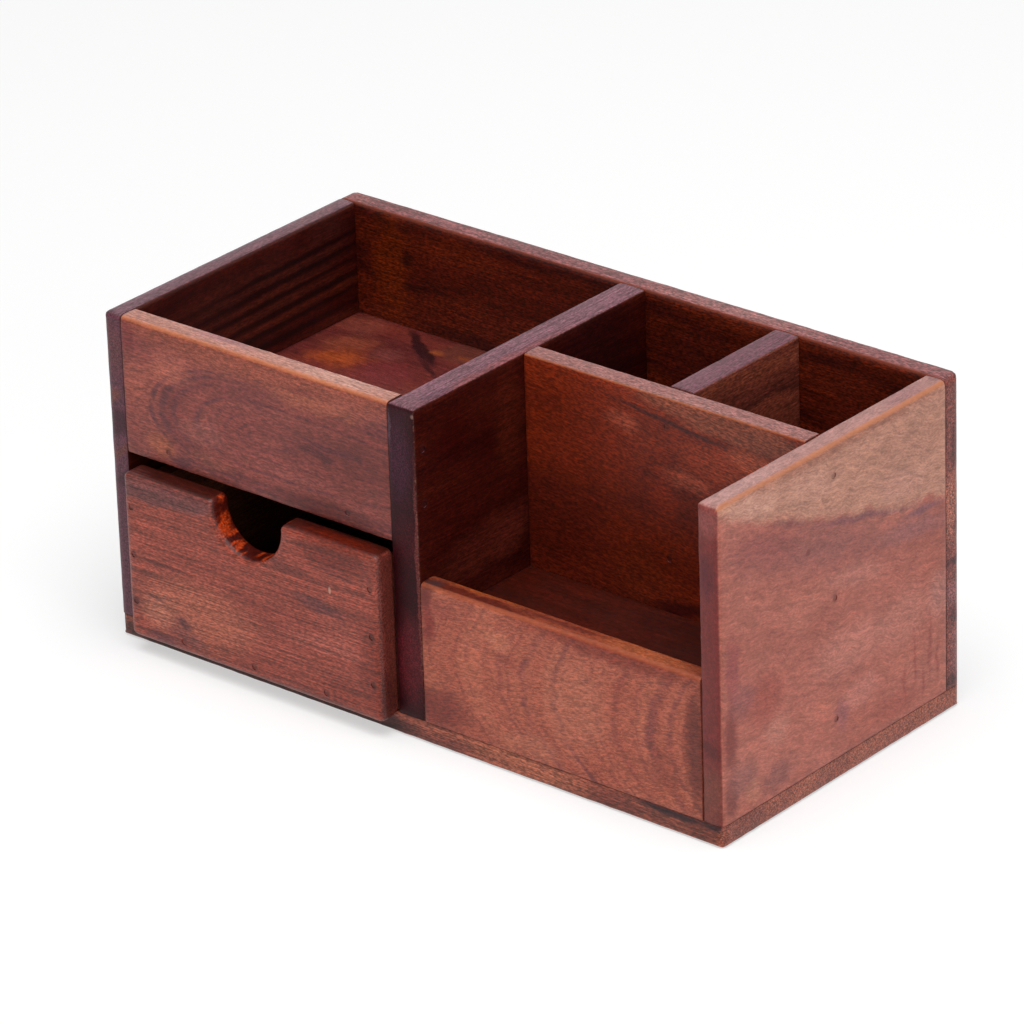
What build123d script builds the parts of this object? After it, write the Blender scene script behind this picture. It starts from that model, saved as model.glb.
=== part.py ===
from build123d import *
import math
import os

# Pen stand with drawer: a case of butted hardwood boards, nailed and glued, with a tray above a drawer on the left,
# an open bay on the right and two pen wells behind it. Millimetres. +X runs to the right as seen from the front,
# +Y to the back and +Z up. The origin is at the centre of the case's underside.

# ---- driving dimensions ----

# Case, outside
CASE_LENGTH = 254.0
CASE_DEPTH = 124.0
CASE_HEIGHT = 117.0

# Board thicknesses
BASE_THICKNESS = 7.5
SIDE_THICKNESS = 8.0
BACK_THICKNESS = 8.0
PARTITION_THICKNESS = 11.0
TRAY_FRONT_THICKNESS = 8.0
TRAY_FLOOR_THICKNESS = 8.0
LOW_FRONT_THICKNESS = 8.0
BAY_FLOOR_THICKNESS = 8.0
CROSS_PANEL_THICKNESS = 8.0
DIVIDER_THICKNESS = 10.0

# Layout of the case
TRAY_WIDTH = 114.0  # clear width of the tray and of the drawer opening below it
TRAY_DEPTH = 40.0  # from the rim down to the tray floor
TRAY_FRONT_HEIGHT = 49.0
BAY_LENGTH = 46.0  # clear, from the low front back to the cross panel
LOW_FRONT_TOP = 57.0  # above the desk
BAY_FLOOR_TOP = 42.0  # above the desk
LEFT_WELL_WIDTH = 53.0  # clear width of the pen well beside the partition

# Drawer
DRAWER_FRONT_THICKNESS = 8.0
DRAWER_SIDE_THICKNESS = 7.0
DRAWER_BACK_THICKNESS = 7.0
DRAWER_BOTTOM_THICKNESS = 4.0
DRAWER_SIDE_SET_DOWN = 5.2  # from the drawer front's top down to the tops of the sides and back
DRAWER_FRONT_PROUD = 7.0  # how far the shut drawer's face stands out of the case
DRAWER_GAP_LEFT = 3.2
DRAWER_GAP_RIGHT = 0.8
DRAWER_GAP_ABOVE = 3.0
DRAWER_GAP_BELOW = 0.3
DRAWER_GAP_BEHIND = 0.3  # to the back panel, which stops the shut drawer
DRAWER_FACE_DROP = 2.0  # how far the drawer's face hangs in front of the base's edge
DRAWER_FACE_CLEARANCE = 0.6  # from the base's edge forward to the slope cut under the drawer's face
DRAWER_FACE_SLOPE = 38.0  # of that cut, in degrees
NOTCH_RADIUS = 14.4
NOTCH_SET_DOWN = 2.4  # from the drawer front's top down to the middle of the notch's arc
NOTCH_ASIDE = 1.1  # how far left of the drawer's middle the notch was cut
NOTCH_LIP_RADIUS = 2.0
DRAWER_FRONT_CORNER_RADIUS = 1.5

# Worked edges
ARRIS_RADIUS = 0.8
SOFT_EDGE_RADIUS = 1.6  # tops of the two front boards
BACK_CORNER_RADIUS = 3.0
DRAWER_FACE_RADIUS = 2.0

# Nails
SHANK_RADIUS = 0.7
HEAD_RADIUS = 1.1
HEAD_HEIGHT = 0.8
HEAD_SINK = 0.4  # punched below the surface
POINT_LENGTH = 2.0
CASE_NAIL_LENGTH = 22.0
DRAWER_NAIL_LENGTH = 16.0
CROSS_NAIL_FROM_TOP = 11.0
CROSS_NAIL_FROM_BASE = 14.0
DIVIDER_NAIL_FROM_TOP = 10.0
DIVIDER_NAIL_FROM_BASE = 7.0
TRAY_NAIL_MARGIN = 15.0  # from the tray front's lower and upper edges
TRAY_FLOOR_NAIL_MARGIN = 18.5  # from the tray's corners
BACK_NAIL_MARGIN = 17.0  # from the upright boards' ends
BASE_NAIL_MARGIN = 27.0  # from the boards' ends
DRAWER_SIDE_NAIL_MARGIN = 7.0
DRAWER_BOTTOM_NAIL_MARGIN = 24.0

# ---- planes that the boards share ----

LEFT = -CASE_LENGTH / 2
RIGHT = CASE_LENGTH / 2
FRONT = -CASE_DEPTH / 2
BACK = CASE_DEPTH / 2
TOP = CASE_HEIGHT

TRAY_LEFT = LEFT + SIDE_THICKNESS
TRAY_RIGHT = TRAY_LEFT + TRAY_WIDTH
BAY_LEFT = TRAY_RIGHT + PARTITION_THICKNESS
BAY_RIGHT = RIGHT - SIDE_THICKNESS
INNER_BACK = BACK - BACK_THICKNESS
TRAY_INNER_FRONT = FRONT + TRAY_FRONT_THICKNESS
TRAY_FLOOR_TOP = TOP - TRAY_DEPTH
TRAY_FLOOR_UNDER = TRAY_FLOOR_TOP - TRAY_FLOOR_THICKNESS
TRAY_FRONT_UNDER = TOP - TRAY_FRONT_HEIGHT
BAY_FRONT = FRONT + LOW_FRONT_THICKNESS
CROSS_FRONT = BAY_FRONT + BAY_LENGTH
CROSS_BACK = CROSS_FRONT + CROSS_PANEL_THICKNESS
BAY_FLOOR_UNDER = BAY_FLOOR_TOP - BAY_FLOOR_THICKNESS
DIVIDER_LEFT = BAY_LEFT + LEFT_WELL_WIDTH
DIVIDER_RIGHT = DIVIDER_LEFT + DIVIDER_THICKNESS

DRAWER_LEFT = TRAY_LEFT + DRAWER_GAP_LEFT
DRAWER_RIGHT = TRAY_RIGHT - DRAWER_GAP_RIGHT
DRAWER_FACE = FRONT - DRAWER_FRONT_PROUD
DRAWER_FRONT_REAR = DRAWER_FACE + DRAWER_FRONT_THICKNESS
DRAWER_REAR = INNER_BACK - DRAWER_GAP_BEHIND
DRAWER_UNDER = BASE_THICKNESS + DRAWER_GAP_BELOW
DRAWER_FACE_UNDER = BASE_THICKNESS - DRAWER_FACE_DROP
DRAWER_FLOOR = DRAWER_UNDER + DRAWER_BOTTOM_THICKNESS
DRAWER_FRONT_TOP = min(TRAY_FRONT_UNDER, TRAY_FLOOR_UNDER) - DRAWER_GAP_ABOVE
DRAWER_SIDE_TOP = DRAWER_FRONT_TOP - DRAWER_SIDE_SET_DOWN


# ---- helpers ----


def board(x, y, z):
    """A plain board between two places on each axis."""
    low = (x[0], y[0], z[0])
    size = (x[1] - x[0], y[1] - y[0], z[1] - z[0])
    return Pos(*low) * Box(*size, align=(Align.MIN, Align.MIN, Align.MIN))


def round_edges(solid, along, end_of, end, radius):
    """Rounds the edges that run along one axis at one end (0 low, -1 high) of another."""
    chosen = solid.edges().filter_by(along).group_by(end_of)[end]
    return fillet(chosen, radius)


def spread(low, high, count):
    """Evenly spaced places from low to high, both included."""
    step = (high - low) / (count - 1)
    return [low + step * number for number in range(count)]


def middle(low, high):
    return (low + high) / 2


def turned(profile):
    """A solid of revolution about Z from (radius, height) points."""
    face = make_face(Polyline(*profile, close=True).edges())
    return revolve(Plane.XZ * face, Axis.Z)


def nail_profile(length, mouth):
    """Half section of a nail that points along +Z, with its head's top at the height mouth."""
    neck = HEAD_SINK + HEAD_HEIGHT
    return [
        (0, mouth),
        (HEAD_RADIUS, mouth),
        (HEAD_RADIUS, neck),
        (SHANK_RADIUS, neck),
        (SHANK_RADIUS, length - POINT_LENGTH),
        (0, length),
    ]


def driven(shape, places, direction):
    """Copies of a nail or of its hole, entering the wood at each place in one direction."""
    return [Plane(origin=place, z_dir=direction) * shape for place in places]


CASE_NAIL = turned(nail_profile(CASE_NAIL_LENGTH, HEAD_SINK))
CASE_HOLE = turned(nail_profile(CASE_NAIL_LENGTH, -HEAD_SINK))
DRAWER_NAIL = turned(nail_profile(DRAWER_NAIL_LENGTH, HEAD_SINK))
DRAWER_HOLE = turned(nail_profile(DRAWER_NAIL_LENGTH, -HEAD_SINK))

parts = {}


def nail_group(name, nail, hole, rows, pierced):
    """One node of nails, and their holes in the boards they are driven through."""
    nails = []
    holes = []
    for places, direction in rows:
        nails += driven(nail, places, direction)
        holes += driven(hole, places, direction)
    parts[name] = nails
    for board_name in pierced:
        parts[board_name] -= holes


# ---- case boards ----


def base_board():
    solid = board((LEFT, RIGHT), (FRONT, BACK), (0, BASE_THICKNESS))
    solid = round_edges(solid, Axis.Z, Axis.Y, -1, BACK_CORNER_RADIUS)
    solid = round_edges(solid, Axis.Z, Axis.Y, 0, ARRIS_RADIUS)
    return fillet(solid.faces().sort_by(Axis.Z)[0].edges(), ARRIS_RADIUS / 2)


def back_panel():
    solid = board((LEFT, RIGHT), (INNER_BACK, BACK), (BASE_THICKNESS, TOP))
    solid = round_edges(solid, Axis.Z, Axis.Y, -1, BACK_CORNER_RADIUS)
    return round_edges(solid, Axis.X, Axis.Z, -1, ARRIS_RADIUS)


def side_panel(x):
    solid = board(x, (FRONT, INNER_BACK), (BASE_THICKNESS, TOP))
    solid = round_edges(solid, Axis.Y, Axis.Z, -1, ARRIS_RADIUS)
    return round_edges(solid, Axis.Z, Axis.Y, 0, ARRIS_RADIUS)


def tray_front():
    solid = board((TRAY_LEFT, TRAY_RIGHT), (FRONT, TRAY_INNER_FRONT), (TRAY_FRONT_UNDER, TOP))
    solid = round_edges(solid, Axis.X, Axis.Z, -1, SOFT_EDGE_RADIUS)
    return round_edges(solid, Axis.X, Axis.Z, 0, ARRIS_RADIUS)


def tray_floor():
    return board(
        (TRAY_LEFT, TRAY_RIGHT), (TRAY_INNER_FRONT, INNER_BACK), (TRAY_FLOOR_UNDER, TRAY_FLOOR_TOP)
    )


def low_front():
    solid = board((BAY_LEFT, BAY_RIGHT), (FRONT, BAY_FRONT), (BASE_THICKNESS, LOW_FRONT_TOP))
    return round_edges(solid, Axis.X, Axis.Z, -1, SOFT_EDGE_RADIUS)


def bay_floor():
    return board((BAY_LEFT, BAY_RIGHT), (BAY_FRONT, CROSS_FRONT), (BAY_FLOOR_UNDER, BAY_FLOOR_TOP))


def cross_panel():
    solid = board((BAY_LEFT, BAY_RIGHT), (CROSS_FRONT, CROSS_BACK), (BASE_THICKNESS, TOP))
    return round_edges(solid, Axis.X, Axis.Z, -1, ARRIS_RADIUS)


def pen_divider():
    solid = board((DIVIDER_LEFT, DIVIDER_RIGHT), (CROSS_BACK, INNER_BACK), (BASE_THICKNESS, TOP))
    return round_edges(solid, Axis.Y, Axis.Z, -1, ARRIS_RADIUS)


# ---- drawer boards ----


def under_the_face():
    """What is sloped off behind the drawer front's lower edge, so that it clears the base's edge."""
    rise = math.tan(math.radians(DRAWER_FACE_SLOPE))
    start = FRONT - DRAWER_FACE_CLEARANCE
    beyond = 1.0
    low = DRAWER_FACE_UNDER - beyond
    rear = DRAWER_FRONT_REAR + beyond
    front = start - (BASE_THICKNESS - low) / rise
    high = BASE_THICKNESS + (rear - start) * rise
    section = make_face(Polyline((front, low), (rear, low), (rear, high), close=True).edges())
    across = Plane(origin=(DRAWER_LEFT - beyond, 0, 0), x_dir=(0, 1, 0), z_dir=(1, 0, 0))
    return extrude(across * section, DRAWER_RIGHT - DRAWER_LEFT + 2 * beyond)


def drawer_front():
    """A board with a round finger notch in its upper edge and softened edges on its face."""
    board_middle = middle(DRAWER_LEFT, DRAWER_RIGHT)
    notch_middle = board_middle - NOTCH_ASIDE
    arc_height = DRAWER_FRONT_TOP - NOTCH_SET_DOWN
    width = DRAWER_RIGHT - DRAWER_LEFT
    height = DRAWER_FRONT_TOP - DRAWER_FACE_UNDER
    outline = Pos(board_middle, middle(DRAWER_FACE_UNDER, DRAWER_FRONT_TOP)) * Rectangle(width, height)
    corners = outline.vertices()
    outline = fillet(corners, DRAWER_FRONT_CORNER_RADIUS)
    outline -= Pos(notch_middle, arc_height) * Circle(NOTCH_RADIUS)
    outline -= Pos(notch_middle, arc_height + NOTCH_SET_DOWN) * Rectangle(2 * NOTCH_RADIUS, 2 * NOTCH_SET_DOWN)
    lips = [
        corner
        for corner in outline.vertices()
        if abs(abs(corner.X - notch_middle) - NOTCH_RADIUS) < 0.01 and corner.Y > DRAWER_FRONT_TOP - 0.01
    ]
    outline = fillet(lips, min(NOTCH_LIP_RADIUS, 0.9 * NOTCH_SET_DOWN))
    rear = Plane(origin=(0, DRAWER_FRONT_REAR, 0), x_dir=(1, 0, 0), z_dir=(0, -1, 0))
    solid = extrude(rear * outline, DRAWER_FRONT_THICKNESS)
    face = solid.faces().sort_by(Axis.Y)[0]
    return fillet(face.edges(), DRAWER_FACE_RADIUS) - under_the_face()


def drawer_side(x):
    solid = board(x, (DRAWER_FRONT_REAR, DRAWER_REAR), (DRAWER_FLOOR, DRAWER_SIDE_TOP))
    return round_edges(solid, Axis.Y, Axis.Z, -1, ARRIS_RADIUS)


def drawer_back():
    solid = board(
        (DRAWER_LEFT + DRAWER_SIDE_THICKNESS, DRAWER_RIGHT - DRAWER_SIDE_THICKNESS),
        (DRAWER_REAR - DRAWER_BACK_THICKNESS, DRAWER_REAR),
        (DRAWER_FLOOR, DRAWER_SIDE_TOP),
    )
    return round_edges(solid, Axis.X, Axis.Z, -1, ARRIS_RADIUS)


def drawer_bottom():
    return board(
        (DRAWER_LEFT, DRAWER_RIGHT), (DRAWER_FRONT_REAR, DRAWER_REAR), (DRAWER_UNDER, DRAWER_FLOOR)
    )


parts["base_board"] = base_board()
parts["back_panel"] = back_panel()
parts["left_side_panel"] = side_panel((LEFT, TRAY_LEFT))
parts["right_side_panel"] = side_panel((BAY_RIGHT, RIGHT))
parts["middle_partition"] = side_panel((TRAY_RIGHT, BAY_LEFT))
parts["tray_front"] = tray_front()
parts["tray_floor"] = tray_floor()
parts["low_front"] = low_front()
parts["bay_floor"] = bay_floor()
parts["cross_panel"] = cross_panel()
parts["pen_divider"] = pen_divider()
parts["drawer_front"] = drawer_front()
parts["drawer_left_side"] = drawer_side((DRAWER_LEFT, DRAWER_LEFT + DRAWER_SIDE_THICKNESS))
parts["drawer_right_side"] = drawer_side((DRAWER_RIGHT - DRAWER_SIDE_THICKNESS, DRAWER_RIGHT))
parts["drawer_back"] = drawer_back()
parts["drawer_bottom"] = drawer_bottom()


# ---- nails ----

TO_RIGHT, TO_LEFT = (1, 0, 0), (-1, 0, 0)
TO_BACK, TO_FRONT = (0, 1, 0), (0, -1, 0)
UPWARD = (0, 0, 1)


def cross_panel_nails():
    """Rows through the right panel and through the partition, into the cross panel's ends."""
    heights = spread(BASE_THICKNESS + CROSS_NAIL_FROM_BASE, TOP - CROSS_NAIL_FROM_TOP, 3)
    line = middle(CROSS_FRONT, CROSS_BACK)
    rows = [
        ([(RIGHT, line, height) for height in heights], TO_LEFT),
        ([(TRAY_RIGHT, line, height) for height in (heights[0], heights[-1])], TO_RIGHT),
    ]
    pierced = ["right_side_panel", "middle_partition", "cross_panel"]
    nail_group("cross_panel_nails", CASE_NAIL, CASE_HOLE, rows, pierced)


def divider_nails():
    """A row through the cross panel into the divider's front edge."""
    heights = spread(BASE_THICKNESS + DIVIDER_NAIL_FROM_BASE, TOP - DIVIDER_NAIL_FROM_TOP, 3)
    line = middle(DIVIDER_LEFT, DIVIDER_RIGHT)
    rows = [([(line, CROSS_FRONT, height) for height in heights], TO_BACK)]
    nail_group("divider_nails", CASE_NAIL, CASE_HOLE, rows, ["cross_panel", "pen_divider"])


def tray_front_nails():
    """Pairs through the left panel and through the partition, into the tray front's ends."""
    heights = spread(TRAY_FRONT_UNDER + TRAY_NAIL_MARGIN, TOP - TRAY_NAIL_MARGIN, 2)
    line = middle(FRONT, TRAY_INNER_FRONT)
    rows = [
        ([(LEFT, line, height) for height in heights], TO_RIGHT),
        ([(BAY_LEFT, line, height) for height in heights], TO_LEFT),
    ]
    pierced = ["left_side_panel", "middle_partition", "tray_front"]
    nail_group("tray_front_nails", CASE_NAIL, CASE_HOLE, rows, pierced)


def tray_floor_nails():
    """Pairs through the tray front and through the left panel, into the floor's edges."""
    height = middle(TRAY_FLOOR_UNDER, TRAY_FLOOR_TOP)
    across = spread(TRAY_LEFT + TRAY_FLOOR_NAIL_MARGIN, TRAY_RIGHT - TRAY_FLOOR_NAIL_MARGIN, 2)
    deep = spread(TRAY_INNER_FRONT + BASE_NAIL_MARGIN, INNER_BACK - BASE_NAIL_MARGIN, 2)
    rows = [
        ([(x, FRONT, height) for x in across], TO_BACK),
        ([(LEFT, y, height) for y in deep], TO_RIGHT),
    ]
    pierced = ["tray_front", "left_side_panel", "tray_floor"]
    nail_group("tray_floor_nails", CASE_NAIL, CASE_HOLE, rows, pierced)


def back_panel_nails():
    """Rows from behind into the rear edges of the four upright boards."""
    heights = spread(BASE_THICKNESS + BACK_NAIL_MARGIN, TOP - BACK_NAIL_MARGIN, 3)
    lines = [
        middle(LEFT, TRAY_LEFT),
        middle(TRAY_RIGHT, BAY_LEFT),
        middle(DIVIDER_LEFT, DIVIDER_RIGHT),
        middle(BAY_RIGHT, RIGHT),
    ]
    rows = [([(line, BACK, height) for height in heights], TO_FRONT) for line in lines]
    pierced = ["back_panel", "left_side_panel", "middle_partition", "pen_divider", "right_side_panel"]
    nail_group("back_panel_nails", CASE_NAIL, CASE_HOLE, rows, pierced)


def base_nails():
    """Pairs from below into the lower edges of the upright boards."""
    deep = spread(FRONT + BASE_NAIL_MARGIN, INNER_BACK - BASE_NAIL_MARGIN, 2)
    along_bay = spread(BAY_LEFT + BASE_NAIL_MARGIN, BAY_RIGHT - BASE_NAIL_MARGIN, 2)
    along_back = spread(LEFT + 2 * BASE_NAIL_MARGIN, RIGHT - 2 * BASE_NAIL_MARGIN, 2)
    uprights = [middle(LEFT, TRAY_LEFT), middle(TRAY_RIGHT, BAY_LEFT), middle(BAY_RIGHT, RIGHT)]
    places = [(x, y, 0) for x in uprights for y in deep]
    places += [(x, middle(FRONT, BAY_FRONT), 0) for x in along_bay]
    places += [(x, middle(CROSS_FRONT, CROSS_BACK), 0) for x in along_bay]
    places += [(x, middle(INNER_BACK, BACK), 0) for x in along_back]
    pierced = [
        "base_board",
        "left_side_panel",
        "middle_partition",
        "right_side_panel",
        "low_front",
        "cross_panel",
        "back_panel",
    ]
    nail_group("base_nails", CASE_NAIL, CASE_HOLE, [(places, UPWARD)], pierced)


def drawer_front_nails():
    """Rows through the drawer's face into both sides and into the bottom's front edge."""
    heights = spread(DRAWER_FLOOR + DRAWER_SIDE_NAIL_MARGIN, DRAWER_SIDE_TOP - DRAWER_SIDE_NAIL_MARGIN, 3)
    lines = [DRAWER_LEFT + DRAWER_SIDE_THICKNESS / 2, DRAWER_RIGHT - DRAWER_SIDE_THICKNESS / 2]
    across = spread(DRAWER_LEFT + DRAWER_BOTTOM_NAIL_MARGIN, DRAWER_RIGHT - DRAWER_BOTTOM_NAIL_MARGIN, 3)
    places = [(line, DRAWER_FACE, height) for line in lines for height in heights]
    places += [(x, DRAWER_FACE, middle(DRAWER_UNDER, DRAWER_FLOOR)) for x in across]
    pierced = ["drawer_front", "drawer_left_side", "drawer_right_side", "drawer_bottom"]
    nail_group("drawer_front_nails", DRAWER_NAIL, DRAWER_HOLE, [(places, TO_BACK)], pierced)


def drawer_back_nails():
    """Pairs through the drawer's sides into the back's ends."""
    heights = spread(DRAWER_FLOOR + DRAWER_SIDE_NAIL_MARGIN, DRAWER_SIDE_TOP - DRAWER_SIDE_NAIL_MARGIN, 2)
    line = DRAWER_REAR - DRAWER_BACK_THICKNESS / 2
    rows = [
        ([(DRAWER_LEFT, line, height) for height in heights], TO_RIGHT),
        ([(DRAWER_RIGHT, line, height) for height in heights], TO_LEFT),
    ]
    pierced = ["drawer_left_side", "drawer_right_side", "drawer_back"]
    nail_group("drawer_back_nails", DRAWER_NAIL, DRAWER_HOLE, rows, pierced)


def drawer_bottom_nails():
    """Rows from below into the lower edges of the drawer's sides and back."""
    deep = spread(DRAWER_FRONT_REAR + DRAWER_BOTTOM_NAIL_MARGIN, DRAWER_REAR - DRAWER_BOTTOM_NAIL_MARGIN, 3)
    across = spread(DRAWER_LEFT + DRAWER_BOTTOM_NAIL_MARGIN, DRAWER_RIGHT - DRAWER_BOTTOM_NAIL_MARGIN, 2)
    lines = [DRAWER_LEFT + DRAWER_SIDE_THICKNESS / 2, DRAWER_RIGHT - DRAWER_SIDE_THICKNESS / 2]
    places = [(line, y, DRAWER_UNDER) for line in lines for y in deep]
    places += [(x, DRAWER_REAR - DRAWER_BACK_THICKNESS / 2, DRAWER_UNDER) for x in across]
    pierced = ["drawer_bottom", "drawer_left_side", "drawer_right_side", "drawer_back"]
    nail_group("drawer_bottom_nails", DRAWER_NAIL, DRAWER_HOLE, [(places, UPWARD)], pierced)


cross_panel_nails()
divider_nails()
tray_front_nails()
tray_floor_nails()
back_panel_nails()
base_nails()
drawer_front_nails()
drawer_back_nails()
drawer_bottom_nails()

os.makedirs("parts", exist_ok=True)
for name, shape in parts.items():
    node = Compound(children=shape) if isinstance(shape, list) else shape
    export_step(node, f"parts/{name}.step")
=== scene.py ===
"""Pen stand with drawer: a small desk box of oiled and lacquered hardwood offcuts.

A tray sits above a drawer on the left, an open bay on the right, and two pen wells behind the bay.
Every board is cut from its own plank, so each has its own wood: the panel built below gives each one
a tool of its own and keeps its colours where they can be changed. Metres, +X right, +Y back, +Z up.
"""

import math

import bpy
from mathutils import Matrix, Vector


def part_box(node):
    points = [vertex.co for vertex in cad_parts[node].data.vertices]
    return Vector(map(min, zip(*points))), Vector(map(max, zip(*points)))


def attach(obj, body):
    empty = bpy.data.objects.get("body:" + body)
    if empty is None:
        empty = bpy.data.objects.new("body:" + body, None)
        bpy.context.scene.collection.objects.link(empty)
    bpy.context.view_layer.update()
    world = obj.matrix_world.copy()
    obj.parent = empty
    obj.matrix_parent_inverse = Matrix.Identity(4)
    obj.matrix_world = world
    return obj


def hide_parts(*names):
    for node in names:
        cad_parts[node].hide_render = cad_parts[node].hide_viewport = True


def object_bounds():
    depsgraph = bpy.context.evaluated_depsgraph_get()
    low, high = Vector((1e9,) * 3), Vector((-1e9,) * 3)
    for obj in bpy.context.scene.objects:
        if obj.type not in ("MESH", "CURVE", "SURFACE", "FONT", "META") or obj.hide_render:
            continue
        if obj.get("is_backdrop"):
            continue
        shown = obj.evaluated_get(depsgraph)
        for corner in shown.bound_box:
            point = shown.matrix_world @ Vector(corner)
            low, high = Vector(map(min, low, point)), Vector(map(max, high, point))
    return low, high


bl_info = {
    "name": "Pen stand with drawer",
    "version": (1, 0, 0),
    "blender": (4, 5, 0),
    "location": "3D View > Sidebar > Pen Stand",
    "description": "Builds a hardwood pen stand with a tray, a bay, two pen wells and a drawer",
    "category": "Object",
}

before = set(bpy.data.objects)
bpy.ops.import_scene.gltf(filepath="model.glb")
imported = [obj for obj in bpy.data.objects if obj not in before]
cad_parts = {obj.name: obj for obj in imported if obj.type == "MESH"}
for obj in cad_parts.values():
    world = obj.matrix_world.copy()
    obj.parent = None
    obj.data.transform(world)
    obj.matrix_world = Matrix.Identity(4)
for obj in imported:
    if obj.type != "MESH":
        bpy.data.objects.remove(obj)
CAD_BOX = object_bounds()
MM = 0.001


# ---- how colours and sizes are written down ----


def shade(red, green, blue):
    """A colour as the eye reads it, 0 to 255, turned into the light it stands for."""
    light = []
    for part in (red, green, blue):
        part = part / 255
        light.append(part / 12.92 if part <= 0.04045 else ((part + 0.055) / 1.055) ** 2.4)
    return (*light, 1.0)


def tint(name, description, colour):
    """A colour that can be changed."""
    return bpy.props.FloatVectorProperty(
        name=name, description=description, default=shade(*colour), size=4, min=0, max=1, subtype="COLOR"
    )


def length(name, description, millimetres):
    """A length that can be changed."""
    return bpy.props.FloatProperty(
        name=name, description=description, default=millimetres * MM, min=0, precision=5,
        subtype="DISTANCE", unit="LENGTH",
    )


def share(name, description, value):
    """A value from nought to one that can be changed."""
    return bpy.props.FloatProperty(
        name=name, description=description, default=value, min=0, max=1, subtype="FACTOR"
    )


class BoardWork(bpy.types.PropertyGroup):
    """How the boards were worked before and after glueing up."""

    rubbed: length("Rubbed arris", "Radius of an arris that a hand meets", 0.8)
    soft: length("Soft arris", "Radius of the front boards' upper edges", 1.6)
    worn: length("Worn arris", "Radius where the left end has been rounded most", 2.4)
    rear_corner: length("Rear corner", "Radius of the base's and the back panel's corners", 3.0)
    drawer_face: length("Drawer face", "Radius round the drawer's face", 2.0)
    joint: length("Joint edge", "Tiny break where a board meets its neighbour", 0.2)
    notch: length("Finger notch", "Radius of the notch in the drawer's front", 14.4)
    notch_down: length("Notch depth", "From the drawer front's top to the middle of the notch", 2.4)
    notch_aside: length("Notch aside", "How far left of the middle the notch was cut", 1.1)
    notch_lip: length("Notch lip", "Radius where the notch meets the top edge", 2.4)
    face_slope: bpy.props.FloatProperty(
        name="Slope under the face", description="Cut behind the drawer front's lower edge",
        default=math.radians(38), subtype="ANGLE",
    )
    face_clearance: length("Face clearance", "From the base's edge to that slope", 0.6)
    drawer_corner: length("Drawer corner", "Radius of the drawer front's corners", 2.4)
    wavy: length("Uneven planing", "Depth of the slow waves left by hand planing", 0.10)
    nibbled: length("Worn arrises", "Depth of the small dents along the arrises", 0.42)
    nail: length("Nail head", "Radius of the sunk nail heads", 1.1)
    nail_depth: length("Nail dimple", "Depth of the dimple over each nail head", 0.30)
    score: length("Mesh pitch", "Distance between the lines that divide a board's faces", 3.0)


class BaseWood(bpy.types.PropertyGroup):
    """Brown board under everything."""

    pale: tint("Pale wood", "Between the growth rings", (172, 98, 74))
    mid: tint("Middle tone", "The board as a whole", (150, 78, 58))
    dark: tint("Dark wood", "Broad dark rings", (118, 56, 44))
    vein: tint("Vein", "Thin dark lines", (74, 32, 30))


class BackWood(bpy.types.PropertyGroup):
    """Dark red-brown board across the back."""

    pale: tint("Pale wood", "Between the growth rings", (112, 38, 16))
    mid: tint("Middle tone", "The board as a whole", (94, 28, 10))
    dark: tint("Dark wood", "Broad dark rings", (70, 18, 10))
    vein: tint("Vein", "Thin dark lines", (42, 9, 8))


class LeftWood(bpy.types.PropertyGroup):
    """Dark striped board at the left end."""

    pale: tint("Pale wood", "Between the growth rings", (80, 27, 14))
    mid: tint("Middle tone", "The board as a whole", (64, 13, 6))
    dark: tint("Dark wood", "Broad dark rings", (42, 4, 4))
    vein: tint("Vein", "Thin dark lines", (28, 3, 5))


class RightWood(bpy.types.PropertyGroup):
    """Pale board at the right end, tan above and pink below a purple band."""

    pale: tint("Pale wood", "Between the growth rings", (182, 106, 90))
    mid: tint("Middle tone", "The board as a whole", (170, 93, 77))
    dark: tint("Dark wood", "Broad dark rings", (154, 80, 66))
    vein: tint("Vein", "Thin red lines", (132, 56, 50))
    tan: tint("Tan zone", "Sapwood above the band", (186, 130, 108))
    band: tint("Purple band", "Stain where the sapwood ends", (140, 78, 72))


class PartitionWood(bpy.types.PropertyGroup):
    """Dark purple-brown board between the tray and the bay."""

    pale: tint("Pale wood", "Between the growth rings", (74, 22, 12))
    mid: tint("Middle tone", "The board as a whole", (62, 14, 7))
    dark: tint("Dark wood", "Broad dark rings", (48, 7, 4))
    vein: tint("Vein", "Thin dark lines", (32, 4, 5))


class TrayFrontWood(bpy.types.PropertyGroup):
    """Orange-brown board with an oval figure, in front of the tray."""

    pale: tint("Pale wood", "Between the growth rings", (156, 78, 66))
    mid: tint("Middle tone", "The board as a whole", (142, 67, 58))
    dark: tint("Dark wood", "Broad dark rings", (122, 54, 50))
    vein: tint("Vein", "Thin dark lines", (84, 36, 40))


class TrayFloorWood(bpy.types.PropertyGroup):
    """Glossy mixed orange and maroon board under the tray."""

    pale: tint("Pale wood", "Orange streaks", (128, 56, 40))
    mid: tint("Middle tone", "The board as a whole", (106, 42, 36))
    dark: tint("Dark wood", "Maroon heart", (82, 32, 32))
    vein: tint("Vein", "Thin dark lines", (48, 18, 22))


class LowFrontWood(bpy.types.PropertyGroup):
    """Salmon board with red flecks, in front of the bay."""

    pale: tint("Pale wood", "Between the growth rings", (184, 100, 74))
    mid: tint("Middle tone", "The board as a whole", (173, 89, 66))
    dark: tint("Dark wood", "Broad dark rings", (158, 76, 56))
    vein: tint("Vein", "Thin dark lines", (112, 46, 48))


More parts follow.
